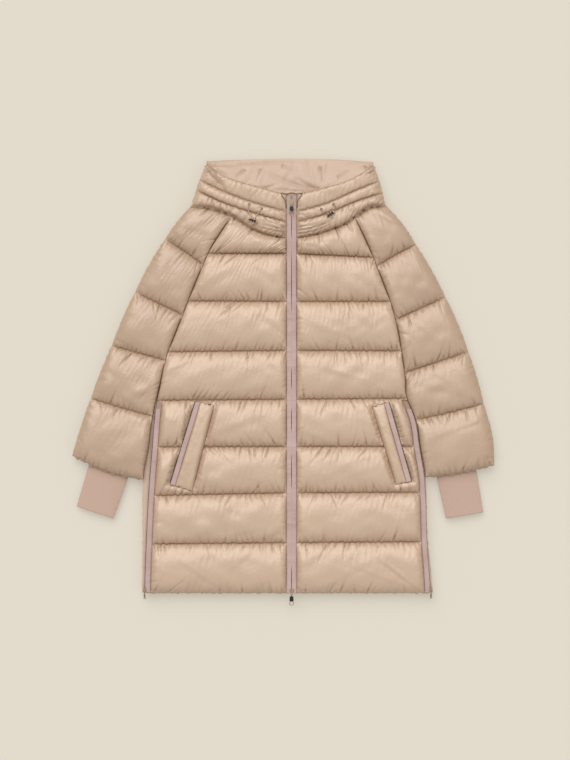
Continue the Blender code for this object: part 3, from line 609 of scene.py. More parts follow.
# ---------------- chance
class Chance:
    """Seeded unevenness, so that every run gives the same coat."""

    def __init__(self, seed: int) -> None:
        """Start from a seed."""
        self.draw = np.random.default_rng(seed)

    def field(self, shape: tuple[int, int], step: float, short: float, long: float,
              tall: float, lean: float = 0.0) -> np.ndarray:
        """Unevenness over a grid, as white noise kept to a band of wavelengths.

        Args:
            shape: rows and columns.
            step: distance between grid points, mm.
            short: shortest wave across, mm.
            long: longest wave across, mm.
            tall: how far up the waves keep their form, mm.
            lean: sideways shift of the waves for each mm up.

        Returns:
            A grid with mean 0 and spread 1.
        """
        spectrum = np.fft.fft2(self.draw.normal(size=shape))
        up = np.fft.fftfreq(shape[0], step)[:, None]
        side = np.fft.fftfreq(shape[1], step)[None, :]
        centre, width = 2 / (short + long), 0.5 * (1 / short - 1 / long)
        along = up + lean * side
        band = np.exp(-((np.abs(side) - centre) / width) ** 2) * np.exp(-(along * tall) ** 2)
        waves = np.real(np.fft.ifft2(spectrum * band))
        return waves / waves.std()


# ---------------- cloth
@dataclass(frozen=True)
class Gathers:
    """Creases that start at a stitched line and die out in the cloth. Lengths are in mm."""

    pitch: float = 8.5
    short: float = 9.0
    long: float = 50.0
    depth: float = 5.0
    width: float = 2.7
    lean: float = 0.45
    rare: float = 2.4  # how much rarer long creases are than short ones

    def sink(self, along: np.ndarray, off: np.ndarray, extent: float, limit: float,
             chance: "Chance") -> np.ndarray:
        """How far the creases sink the cloth.

        A crease of length l that starts at p and leans by m has its valley at along = p + m * off.
        There it is d * (1 - off / l)^1.4 deep, a little less at the very line, with a depth d of
        its own. It dies out beside the valley as exp(-(|t| / w)^1.3), where w grows along the
        crease. Creases that start close together lean alike.

        Args:
            along: distance along the line, for each point.
            off: distance off the line, for each point.
            extent: the line's length.
            limit: the most that a crease may be long.
            chance: the source of unevenness.

        Returns:
            The depth at each point.
        """
        count = max(int(extent / self.pitch), 1)
        draw = chance.draw
        place = (np.arange(count) + draw.uniform(0.0, 1.0, count)) * self.pitch
        turns = draw.normal(0, self.lean, count // 5 + 2)
        lean = np.interp(place, np.linspace(0, extent, len(turns)), turns)
        lean += draw.normal(0, 0.15, count)
        length = self.short + (self.long - self.short) * draw.random(count) ** self.rare
        length = np.minimum(length, limit)
        depth = self.depth * draw.uniform(0.4, 1.3, count) * (length / self.long) ** 0.4
        total = np.zeros(along.shape)
        for p, m, long, deep in zip(place, lean, length, depth):
            way = off / long
            near = way < 1
            t = np.abs(along[near] - p - m * off[near]) / (self.width * (0.5 + way[near]))
            fade = (1 - way[near]) ** 1.4 * np.clip(0.35 + way[near] * long / 5, 0, 1)
            total[near] += deep * fade * np.exp(-t ** 1.3)
        return total


@dataclass(frozen=True)
class Fold:
    """A crease with a place of its own. It dies out toward its end. Lengths are in mm."""

    start: tuple[float, float]
    end: tuple[float, float]
    depth: float = 4.0
    width: float = 2.6
    bow: float = 0.0  # how far its middle lies to the left of its ends

    def sink(self, x: np.ndarray, y: np.ndarray) -> np.ndarray:
        """How far it sinks the cloth.

        With a from 0 at its start to 1 at its end and t off its bowed line, it is
        depth * (1 - a)^0.7 * exp(-(|t| / width)^1.3) deep, and less just at its start.
        """
        (ax, ay), (bx, by) = self.start, self.end
        long = math.hypot(bx - ax, by - ay)
        ux, uy = (bx - ax) / long, (by - ay) / long
        a = ((x - ax) * ux + (y - ay) * uy) / long
        inside = np.clip(a, 0, 1)
        t = (y - ay) * ux - (x - ax) * uy - self.bow * 4 * inside * (1 - inside)
        fade = (1 - inside) ** 0.7 * np.clip(0.5 + 6 * inside, 0, 1) * (a > -0.02) * (a < 1)
        return self.depth * fade * np.exp(-(np.abs(t) / self.width) ** 1.3)


@dataclass(frozen=True)
class Drapes:
    """Long, shallow folds that cross a panel at a slant. Lengths are in mm."""

    spacing: float = 95.0  # side of the square that holds one fold on average
    long: float = 150.0
    depth: float = 1.0
    width: float = 6.0
    slope: float = 0.7  # radians either way from level

    def rise(self, x: np.ndarray, y: np.ndarray, chance: "Chance") -> np.ndarray:
        """How far the folds raise the cloth: each is a ridge with a valley beside it.

        With t across and a along the fold, both from its middle, it raises the cloth by
        depth * t / w * exp(1 / 2 - (t / w)^2 / 2) * exp(-(2 * a / long)^2).
        """
        count = int(np.ptp(x) * np.ptp(y) / self.spacing ** 2) + 1
        draw = chance.draw
        total = np.zeros(x.shape)
        for _ in range(count):
            px, py = draw.uniform(x.min(), x.max()), draw.uniform(y.min(), y.max())
            angle = draw.uniform(0.25, 1.0) * self.slope * draw.choice((-1, 1))
            long, wide = self.long * draw.uniform(0.5, 1.3), self.width * draw.uniform(0.6, 1.4)
            deep = self.depth * draw.uniform(0.5, 1.4)
            a = (x - px) * math.cos(angle) + (y - py) * math.sin(angle)
            t = ((y - py) * math.cos(angle) - (x - px) * math.sin(angle)) / wide
            total += deep * t * np.exp(0.5 - t * t / 2) * np.exp(-(2 * a / long) ** 2)
        return total


@dataclass(frozen=True)
class Cloth:
    """How a shell cloth lies over its filling. Lengths are in mm, excesses are shares."""

    seam: Gathers = Gathers()
    side: Gathers = Gathers(pitch=12.0, short=8, long=40, depth=2.6, width=3.4, lean=0.6, rare=1.8)
    drapes: Drapes = Drapes()
    lumps: float = 1.0  # unevenness of the filling
    streaks: float = 0.13  # faint waves that run from seam to seam
    ragged: float = 0.55  # how far a seam strays from its line
    seam_excess: float = 0.03  # spare length beyond what the creases take up
    middle_excess: float = 0.008
    reach: float = 12.0
    filling: float = 0.002  # pull of the filling back to its smooth form, per step
    bending: float = 0.02
    shear: float = 0.3
    keep: float = 0.90  # speed kept from step to step
    steps: int = 30
    most: float = 5.0  # furthest that a point may rise or sink

    def settle(self, base: np.ndarray, creased: np.ndarray, free: np.ndarray,
               off_seam: np.ndarray, low: float, high: float) -> np.ndarray:
        """Settle cloth with spare length over its filling.

        The cloth is cut to the creased form and a little more. Each step moves every free point
        by its kept speed and the filling's pull towards the smooth form. Then each thread and
        diagonal of the grid is pulled to its own length, in turn, and each bend is eased, as in
        position-based dynamics.

        Args:
            base: the smooth form, rows by columns by 3.
            creased: the form that the cloth is cut to.
            free: 1 where a point may move, and 0 where it is stitched down.
            off_seam: distance to the nearest quilting seam.
            low: lowest z that a point may take.
            high: highest z that a point may take.

        Returns:
            The settled points.
        """
        points = creased.copy()
        near = np.exp(-off_seam / self.reach)
        excess = self.middle_excess + (self.seam_excess - self.middle_excess) * near
        span = np.linalg.norm(creased[:, 1:] - creased[:, :-1], axis=2)
        span *= 1 + (excess[:, 1:] + excess[:, :-1]) / 2
        rise = np.linalg.norm(creased[1:] - creased[:-1], axis=2)
        loose = 1 + (excess[1:, 1:] + excess[:-1, :-1]) / 4
        slant = np.linalg.norm(creased[1:, 1:] - creased[:-1, :-1], axis=2) * loose
        slope = np.linalg.norm(creased[1:, :-1] - creased[:-1, 1:], axis=2) * loose
        hold = free[:, :, None]
        speed = np.zeros_like(points)
        for _ in range(self.steps):
            before = points.copy()
            points += (speed * self.keep + self.filling * (base - points)) * hold
            for o in (0, 1):
                self._pull(points[:, o:-1:2], points[:, o + 1::2], free[:, o:-1:2],
                           free[:, o + 1::2], span[:, o::2], 1.0)
                self._pull(points[o:-1:2], points[o + 1::2], free[o:-1:2], free[o + 1::2],
                           rise[o::2], 1.0)
                self._pull(points[o:-1:2, :-1], points[o + 1::2, 1:], free[o:-1:2, :-1],
                           free[o + 1::2, 1:], slant[o::2], self.shear)
                self._pull(points[o:-1:2, 1:], points[o + 1::2, :-1], free[o:-1:2, 1:],
                           free[o + 1::2, :-1], slope[o::2], self.shear)
            between = (points[:, 2:] + points[:, :-2]) / 2 - points[:, 1:-1]
            points[:, 1:-1] += self.bending * between * hold[:, 1:-1]
            between = (points[2:] + points[:-2]) / 2 - points[1:-1]
            points[1:-1] += self.bending * between * hold[1:-1]
            z = np.clip(points[:, :, 2], base[:, :, 2] - self.most, base[:, :, 2] + self.most)
            points[:, :, 2] = np.where(free > 0, np.clip(z, low, high), points[:, :, 2])
            speed = points - before
        return points

    @staticmethod
    def _pull(a: np.ndarray, b: np.ndarray, free_a: np.ndarray, free_b: np.ndarray,
              length: np.ndarray, share: float) -> None:
        """Move pairs of points along their line towards their own length, in place."""
        line = b - a
        now = np.sqrt((line * line).sum(2))
        line *= (share * (now - length) / (now * np.maximum(free_a + free_b, 1e-9)))[:, :, None]
        a += line * free_a[:, :, None]
        b -= line * free_b[:, :, None]


SHELL_CLOTH = Cloth()

# ---------------- creases with a place of their own
HOOD_FOLDS_L = (
    Fold((-176, 885), (-136.0, 832), 8.0, 4.6, 4.0),
    Fold((-11, 752.3), (-72, 768), 6.0, 2.6, -2.0),
    Fold((-11, 760), (-60, 776), 5.0, 2.2, -2.0),
    Fold((-11, 745.5), (-84, 762.5), 5.0, 2.2, -3.0),
)
HOOD_FOLDS_R = (
    Fold((11, 754.3), (104, 789), 6.0, 2.6, -7.0),
    Fold((11, 747), (96, 777), 5.5, 2.4, -6.0),
    Fold((11, 762), (60, 772), 4.5, 2.2, -2.0),
    Fold((176, 889), (150, 866), 3.0, 3.0, 2.0),
)
LINING_FOLDS = (
    Fold((45, 843), (-58, 880), 6.0, 5.5, 4.0),
    Fold((58, 841), (7, 868), 6.0, 4.5, 3.0),
    Fold((-64, 885), (-73, 857), 4.5, 3.4, 0.5),
    Fold((-97, 883), (-116, 867), 4.5, 3.4, -0.5),
    Fold((60, 890), (66, 857), 4.5, 3.4, 0.5),
    Fold((-66, 842), (-21, 857), 4.5, 3.6, -2.0),
    Fold((39, 838), (-66, 844), 4.0, 4.0, 2.0),
    Fold((-170, 890), (-128, 868), 6.0, 3.6, 3.0),
    Fold((-176, 896), (-110, 895), 5.0, 3.4, -2.0),
    Fold((-110, 896), (60, 900), 3.0, 3.0, 1.0),
    Fold((-20, 893), (12, 876), 3.5, 3.6, 2.0),
    Fold((96, 866), (124, 882), 3.5, 3.4, 2.0),
    Fold((152, 893), (152, 874), 6.0, 2.4, 5.0),
    Fold((163, 893), (158, 876), 6.0, 2.2, -3.0),
)


@dataclass
class PaddedPiece:
    """One padded piece over rows of seams, each a short line from its left to its right edge.

    The plain face is level at height plain. The other face stands off it by seam at each row
    and by seam + rise between rows, rounds down to ledge_walls at both side edges, and is never
    further off than most. swell is how far the upright side bulges at the foot, the right, the
    top and the left.
    """

    node: str
    rows: list
    plain: float
    seam: tuple | float
    rise: tuple | float
    up: bool = True
    left: Line | None = None
    right: Line | None = None
    ledges: tuple[float, float] = (0, 0)
    ledge_walls: tuple[float, float] = (EDGE, EDGE)
    ledge_tops: tuple[float, float] = (math.inf, math.inf)
    walls_above: tuple[float, float] = (12.0, 12.0)
    rounds: tuple[float, float] = (SEAM_ROUND, SEAM_ROUND)
    scallops: tuple[float, float] = (0, 0)
    most: float = math.inf
    groove: float = 0.0  # how much deeper the thread pulls a seam
    groove_width: float = 1.6
    step: float = 1.8  # distance between grid points
    swell: tuple[float, float, float, float] = (0, 0, 0, 0)
    side_profile: tuple = ()  # inset and height of each point of a layered side
    recess: np.ndarray | None = None  # outline of the place for a pocket's welt
    recess_round: float = 13.0  # how wide the wall rounds down to it
    recess_lip: float = 13.5  # wall at its edge
    cloth: Cloth = SHELL_CLOTH
    gathered: tuple | float = 1.0  # how deep the creases of each baffle are
    folds: tuple[Fold, ...] = ()
    seam_line_and_shade: float = 0.36  # how dark the cloth is along a seam, from 0 to 1: its thread line and painted shade
    ledge_line_and_shade: float = 0.6  # along the edge of a ledge: its seam line and painted shade
    crease_shade: float = 0.12  # painted shade in a crease of deep_crease or more
    tuck_shadow: float = 0.8  # painted shadow under the hood's hem
    seam_width: float = 1.4
    deep_crease: float = 4.0
    tuck: float = 0.0  # how far the shade under the hood's hem reaches
    finish: Finish = Finish.SHELL
    slot: Slot = Slot.SHELL
    fill: float = 0.7
    seed: int = 1
    piece: bpy.types.Object | None = field(default=None, init=False)
    points: np.ndarray | None = field(default=None, init=False)
    seam_rows: list = field(default_factory=list, init=False)
    off_thread: np.ndarray | None = field(default=None, init=False)
    sunk: np.ndarray | None = field(default=None, init=False)

    def ground(self) -> tuple[np.ndarray, np.ndarray, np.ndarray, np.ndarray]:
        """The smooth form as a grid.

        Returns:
            The points, where they are free, how far they lie off a seam, and how far off each
            side (the left one, then the right one).
        """
        rows = [np.asarray(row, float) for row in self.rows]
        count = len(rows)
        walls = self.seam if isinstance(self.seam, tuple) else (self.seam,) * count
        seams = np.array([np.broadcast_to(wall, 2) for wall in walls])
        rises = np.broadcast_to(self.rise, count - 1).astype(float)
        widest = max(np.linalg.norm(row[-1] - row[0]) for row in rows)
        share = np.linspace(0, 1, int(widest / self.step) + 1)
        levels = []
        for j in range(count - 1):
            tall = np.linalg.norm(rows[j + 1].mean(0) - rows[j].mean(0))
            low, high = smooth_line(rows[j], share), smooth_line(rows[j + 1], share)
            n = max(3, round(np.linalg.norm(high - low, axis=1).max() / self.step))
            self.seam_rows.append(len(levels))
            for f in np.arange(n + (j == count - 2)) / n:
                line = self._line((1 - f) * low + f * high, share, puff(f))
                ends = (1 - f) * seams[j] + f * seams[j + 1] + rises[j] * puff(f)
                levels.append(self._level(line, share, ends, min(f, 1 - f) * tall))
        self.seam_rows.append(len(levels) - 1)
        plan, heights, free, seam_gap, side_gap = (np.array(part) for part in zip(*levels))
        self.off_thread = seam_gap
        if self.recess is not None:
            heights, seam_gap = self._set_in(plan, heights, free, seam_gap)
        base = np.dstack((plan, self.plain + heights * (1 if self.up else -1)))
        return base, free, seam_gap, side_gap

    def _line(self, line: np.ndarray, share: np.ndarray, swollen: float) -> np.ndarray:
        """One grid line, with its ends moved to the side edges and swollen past them."""
        for edge, end, weight, scallop in ((self.left, 0, 1 - share, -self.scallops[0]),
                                           (self.right, -1, share, self.scallops[1])):
            if edge is not None:
                line[:, 0] += weight * (edge_x(edge, line[end, 1]) - line[end, 0])
            line[:, 0] += scallop * swollen * weight
        return line

    def _level(self, line: np.ndarray, share: np.ndarray, ends: np.ndarray,
               off_seam: float) -> tuple:
        """The wall along one grid line.

        Args:
            line: the line's points in the plan.
            share: how far across each one lies.
            ends: the wall at the line's left and right end, before it rounds down.
            off_seam: the line's distance off the nearest seam.

        Returns:
            The line, its walls, where it is free, its distances off a seam and off both sides.
        """
        width = np.linalg.norm(line[-1] - line[0])
        height = ends[0] * (1 - share) + ends[1] * share
        height = height - self.groove * math.exp(-off_seam / self.groove_width)
        loose = np.full(len(share), float(off_seam > 0))
        beside = []
        for k, distance in enumerate((share * width, (1 - share) * width)):
            on = line[-k, 1] < self.ledge_tops[k]
            beyond = distance - self.ledges[k] * on
            shaped = rounding(beyond, self.rounds[k])
            wall = self.ledge_walls[k] if on else self.walls_above[k]
            height = wall * (1 - shaped) + height * shaped
            loose[beyond <= 0] = 0
            beside.append(np.maximum(beyond, 0))
        return line, np.minimum(height, self.most), loose, np.full(len(share), off_seam), beside

    def _set_in(self, plan: np.ndarray, heights: np.ndarray, free: np.ndarray,
                seam_gap: np.ndarray) -> tuple[np.ndarray, np.ndarray]:
        """Set the recess into the wall.

        Args:
            plan: the grid's points, of which those near the outline are moved onto it.
            heights: the walls.
            free: where points may move; those in the recess are made fast.
            seam_gap: distances off a seam.

        Returns:
            The walls and the distances off a seam or the recess.
        """
        off, out = self._off_recess(plan)
        onto = np.abs(off) < 0.55 * self.step
        plan[onto] -= off[onto, None] * out[onto]
        off[onto] = 0
        lip, floor = self.recess_lip, RECESS_FLOOR - self.plain
        shaped = np.sin(np.pi / 2 * np.clip(off / self.recess_round, 0, 1))
        heights = np.where(heights > lip, lip * (1 - shaped) + heights * shaped, heights)
        heights[off < 0] = np.minimum(heights, floor)[off < 0]
        free[off <= 0] = 0
        return heights, np.minimum(seam_gap, np.maximum(off, 0))

    def _off_recess(self, plan: np.ndarray) -> tuple[np.ndarray, np.ndarray]:
        """How far each point lies outside the recess, less than 0 inside, and the way out."""
        away = np.full(plan.shape[:2], -np.inf)
        out = np.zeros_like(plan)
        for a, b in zip(self.recess, np.roll(self.recess, -1, axis=0)):
            along = (b - a) / np.linalg.norm(b - a)
            side = np.array((along[1], -along[0]))
            off = (plan - a) @ side
            out[off > away] = side
            away = np.maximum(away, off)
        return away, out

    def creased(self, base: np.ndarray, free: np.ndarray, seam_gap: np.ndarray,
                side_gap: np.ndarray, chance: Chance) -> np.ndarray:
        """The form that the cloth is cut to, with its creases, folds and lumps.

        Args:
            base: the smooth form.
            free: where it may move.
            seam_gap: distance off the nearest seam.
            side_gap: distance off each side.
            chance: the source of unevenness.

        Returns:
            The points of that form.
        """
        cloth, shape, step = self.cloth, free.shape, self.step
        away = np.minimum(seam_gap, side_gap.min(1))
        inside = 1 - np.exp(-away / 14.0)
        lift = cloth.lumps * chance.field(shape, step, 50, 140, 40) * inside
        lift += cloth.streaks * chance.field(shape, step, 9, 20, 45, 0.3) * (1 - np.exp(-away / 5))
        lift += cloth.drapes.rise(base[:, :, 0], base[:, :, 1], chance) * inside
        self._gather(lift, base, side_gap, chance)
        self.sunk = np.maximum(-lift, 0)
        outward = 1 if self.up else -1
        points = base + normals_of(base) * (lift * free * outward)[:, :, None]
        stray = cloth.ragged * chance.field(shape, step, 7, 22, 200) * np.exp(-seam_gap / 4)
        points[:, :, 1] += stray * (side_gap.min(1) > 3)
        return points

    def _gather(self, lift: np.ndarray, base: np.ndarray, side_gap: np.ndarray,
                chance: Chance) -> None:
        """Sink the lift, in place, by the creases at the seams, the folds and those at the sides.

        Args:
            lift: how far each point stands off the smooth form.
            base: the smooth form.
            side_gap: distance off each side.
            chance: the source of unevenness.
        """
        cloth = self.cloth
        along = np.linalg.norm(np.diff(base[:, :, :2], axis=1), axis=2).cumsum(1)
        along = np.pad(along, ((0, 0), (1, 0)))
        up = np.linalg.norm(np.diff(base[:, :, :2], axis=0), axis=2).cumsum(0)
        up = np.pad(up, ((1, 0), (0, 0)))
        deeper = np.broadcast_to(self.gathered, len(self.seam_rows) - 1)
        for first, last, deep in zip(self.seam_rows[:-1], self.seam_rows[1:], deeper):
            band = slice(first, last + 1)
            extent = along[band].max()
            low, high = up[band] - up[first], up[last] - up[band]
            limit = 0.75 * high.max()
            lift[band] -= deep * cloth.seam.sink(along[band], low, extent, limit, chance)
            lift[band] -= deep * cloth.seam.sink(along[band], high, extent, limit, chance)
        for fold in self.folds:
            lift -= fold.sink(base[:, :, 0], base[:, :, 1])
        for k in (0, 1):
            lift -= cloth.side.sink(up, side_gap[:, k], up.max(), SIDE_CREASE, chance)
        if self.recess is not None:
            off, _ = self._off_recess(base[:, :, :2])
            axis = self.recess[2] - self.recess[1]
            run = (base[:, :, :2] - self.recess[1]) @ (axis / np.linalg.norm(axis))
            extent = float(run.max())
            lift -= cloth.seam.sink(run, np.maximum(off, 0), extent, WELT_CREASE, chance)

    def build(self) -> "PaddedPiece":
        base, free, seam_gap, side_gap = self.ground()
        low = self.plain + 1.0 if self.up else 0.0
        high = math.inf if self.up else self.plain - 0.5
        creased = self.creased(base, free, seam_gap, side_gap, Chance(self.seed))
        creased[:, :, 2] = np.clip(creased[:, :, 2], low, high)
        self.points = self.cloth.settle(base, creased, free, seam_gap, low, high)
        points, faces = self._closed()
        self.piece = mesh_from(f"{self.node}_shell", points, faces, self.finish.material, 55)
        self._paint_seam_shade(free, side_gap)
        on_coat(self.piece, self.slot, self.node)
        return self

    def _closed(self) -> tuple[np.ndarray, list]:
        """Points and faces of the cloth with its upright sides and its plain face."""
        rows, columns = self.points.shape[:2]
        index = np.arange(rows * columns).reshape(rows, columns)
        rim = rim_of(index)
        stacked = [self.points.reshape(-1, 3)]
        edge = stacked[0][rim]
        tangent = np.roll(edge, -1, axis=0) - np.roll(edge, 1, axis=0)
        inward = np.column_stack((-tangent[:, 1], tangent[:, 0], np.zeros(len(rim))))
        inward /= np.linalg.norm(inward, axis=1)[:, None]
        swell = np.repeat(self.swell, (columns - 1, rows - 1, columns - 1, rows - 1))
        swell = np.convolve(np.pad(swell, 2, mode="wrap"), np.ones(5) / 5, "valid")
        swell *= 1 + 0.4 * Chance(self.seed + 500).field((4, len(rim)), self.step, 8, 26, 1)[0]
        quads = [grid_faces(index)]
        above = rim
        for k, ring in enumerate(self._side_rings(edge, inward, swell)):
            below = index.size + k * len(rim) + np.arange(len(rim))
            around = (above, np.roll(above, -1), np.roll(below, -1), below)
            quads.append(np.stack(around, -1)[:, ::-1])
            above = below
            stacked.append(ring)
        order = 1 if self.up else -1
        faces = [row[::order] for part in quads for row in part.tolist()]
        faces.append(above.tolist()[::-1][::order])
        return np.vstack(stacked), faces

    def _paint_seam_shade(self, free: np.ndarray, side_gap: np.ndarray) -> None:
        """Write the attribute that darkens the cloth in its seams, partly painted shade, and in deep
        creases.

        At a distance d off a seam or a ledge it is that place's tone * exp(-(d / width)^2). Under
        the hood's hem, as a painted shadow, it dies out over the width of the tuck, and in a crease
        it grows with the crease's depth, as painted shade.
        """
        seam_and_shade = self.seam_line_and_shade * np.exp(-(self.off_thread / self.seam_width) ** 2)
        for k in (0, 1):
            if self.ledges[k]:
                beside = np.exp(-(side_gap[:, k] / self.seam_width) ** 2)
                seam_and_shade = np.maximum(seam_and_shade, self.ledge_line_and_shade * beside)
        deep = np.clip(self.sunk / self.deep_crease, 0, 1)
        seam_and_shade = np.maximum(seam_and_shade, self.crease_shade * deep)
        if self.tuck:
            down = np.arange(free.shape[0])[::-1, None] * self.step
            seam_and_shade = np.maximum(seam_and_shade, self.tuck_shadow * np.exp(-(down / self.tuck) ** 2))
        values = np.zeros(len(self.piece.data.vertices), np.float32)
        values[:free.size] = seam_and_shade.ravel()
        layer = self.piece.data.attributes.new("seam_and_shade", "FLOAT", "POINT")
        layer.data.foreach_set("value", values)

    def _side_rings(self, edge: np.ndarray, inward: np.ndarray, swell: np.ndarray) -> list:
        """The rings of the upright side, from the outer face to the plain face.

        Without a profile of its own, the side bulges by swell * sin(pi * way), where way goes
        from 0 at the outer face to 1 at the plain one.
        """
        if self.side_profile:
            stands = np.array([stand for _, stand in self.side_profile[::-1]])
            insets = np.array([inset for inset, _ in self.side_profile[::-1]])
            ways = np.linspace(0, 1, 9)
            at = stands[0] + (stands[-1] - stands[0]) * ways
            inset_at = np.interp(-at, -stands, insets)
            rings = [edge + inward * inset for inset in inset_at]
            for ring, stand in zip(rings, at):
                ring[:, 2] = self.plain + stand
            return rings
        rings = []
        for way in np.linspace(0, 1, 5)[1:]:
            ring = edge - inward * (swell * math.sin(math.pi * way))[:, None]
            ring[:, 2] = edge[:, 2] * (1 - way) + self.plain * way
            rings.append(ring)
        return rings

    def seam_lines(self) -> list[np.ndarray]:
        """The settled points of each quilting seam between the foot and the top."""
        return [self.points[row] for row in self.seam_rows[1:-1]]


# ---------------- trim
def sections_mesh(name: str, sections: np.ndarray, finish: Finish, closed_along: bool = False,
                  sharp: float | None = 50) -> bpy.types.Object:
    """A closed skin over a row of closed sections.

    Args:
        name: the piece's name.
        sections: sections by points by 3, each wound anticlockwise seen from its far end.
        finish: its finish.
        closed_along: whether the last section joins the first one.
        sharp: the angle past which its edges are shaded sharp.

    Returns:
        The object. Unless closed along, its two ends are capped.
    """
    count, around = sections.shape[:2]
    index = np.arange(count * around).reshape(count, around)
    if closed_along:
        index = np.vstack((index, index[:1]))
    near, far = index[:-1], index[1:]
    sides = np.stack((near, np.roll(near, -1, 1), np.roll(far, -1, 1), far), -1).reshape(-1, 4)
    faces = sides.tolist()
    if not closed_along:
        faces += [index[0, ::-1].tolist(), index[-1].tolist()]
    return mesh_from(name, sections.reshape(-1, 3), faces, finish.material, sharp)


def copies(name: str, points: np.ndarray, faces: np.ndarray, places: np.ndarray,
           finish: Finish, sharp: float | None = None) -> bpy.types.Object:
    """Many copies of a small shape as one mesh.

    Args:
        name: the piece's name.
        points: the shape's points, in mm about its own middle.
        faces: its faces, all with the same number of points.
        places: for each copy, a 4 by 4 matrix.
        finish: its finish.
        sharp: the angle past which its edges are shaded sharp.

    Returns:
        The object: each point is its copy's turn times the shape's point, plus the copy's place.
    """
    spread = np.einsum("nij,pj->npi", places[:, :3, :3], points) + places[:, None, :3, 3]
    offsets = np.arange(len(places))[:, None, None] * len(points)
    numbered = (faces[None] + offsets).reshape(-1, faces.shape[1])
    return mesh_from(name, spread.reshape(-1, 3), numbered.tolist(), finish.material, sharp)


def resample(line: np.ndarray, pitch: float) -> tuple[np.ndarray, np.ndarray]:
    """Points every pitch along a polyline, with its unit direction at each."""
    along = np.concatenate(([0.0], np.cumsum(np.linalg.norm(np.diff(line, axis=0), axis=1))))
    at = np.arange(pitch / 2, along[-1], pitch)
    middle = np.column_stack([np.interp(at, along, line[:, k]) for k in range(3)])
    ahead = np.column_stack([np.interp(at + pitch / 4, along, line[:, k]) for k in range(3)])
    behind = np.column_stack([np.interp(at - pitch / 4, along, line[:, k]) for k in range(3)])
    direction = ahead - behind
    return middle, direction / np.linalg.norm(direction, axis=1)[:, None]


def frames(middle: np.ndarray, along: np.ndarray, up: np.ndarray) -> np.ndarray:
    """Matrices whose X runs along a direction and whose Z is as near to up as it can be."""
    side = np.cross(up, along)
    side /= np.linalg.norm(side, axis=1)[:, None]
    rise = np.cross(along, side)
    places = np.tile(np.eye(4), (len(middle), 1, 1))
    places[:, :3] = np.stack((along, side, rise, middle), -1)
    return places


def squared(angle: np.ndarray, power: float) -> tuple[np.ndarray, np.ndarray]:
    """Points of a squared circle: the cosine and sine with their sizes raised to a power."""
    return (np.sign(np.cos(angle)) * np.abs(np.cos(angle)) ** power,
            np.sign(np.sin(angle)) * np.abs(np.sin(angle)) ** power)


@dataclass(frozen=True)
class Stitching:
    """Rows of stitches, each a small lozenge of thread."""

    pitch: float = 3.4
    length: float = 2.5
    width: float = 0.55
    lift: float = 0.25

    def run(self, name: str, lines: list[np.ndarray], up: float = 1.0) -> bpy.types.Object:
        """Sew along some lines.

        Args:
            name: the piece's name.
            lines: polylines, mm.
            up: 1 where the cloth faces up, and -1 where it faces down.

        Returns:
            One mesh of all the stitches.
        """
        half, wide = self.length / 2, self.width / 2
        points = np.array(((-half, 0, 0), (0, wide, 0), (0, 0, wide), (0, -wide, 0), (0, 0, -wide),
                           (half, 0, 0)))
        faces = np.array([(0, 1 + (k + 1) % 4, 1 + k) for k in range(4)]
                         + [(5, 1 + k, 1 + (k + 1) % 4) for k in range(4)])
        places = []
        for line in lines:
            middle, along = resample(line, self.pitch)
            middle[:, 2] += up * self.lift
            places.append(frames(middle, along, np.tile((0, 0, up), (len(middle), 1))))
        piece = copies(name, points, faces, np.vstack(places), Finish.THREAD)
        return on_coat(piece, Slot.CORD)


# The threads along a tape and along a pocket's edge.
TAPE_STITCHES = Stitching(3.0, 2.2, 0.45, 0.0)
WELT_STITCHES = Stitching(3.0, 2.3, 0.5, 0.15)
# Where a tape's section has its points, as shares of its width: closest where it turns.
TAPE_SHARES = np.array((0, 0.004, 0.02, 0.06, *np.linspace(0.12, 0.8, 7), 0.86, 0.9, 0.93, 0.95,
                        0.97, 0.985, 0.996, 1))


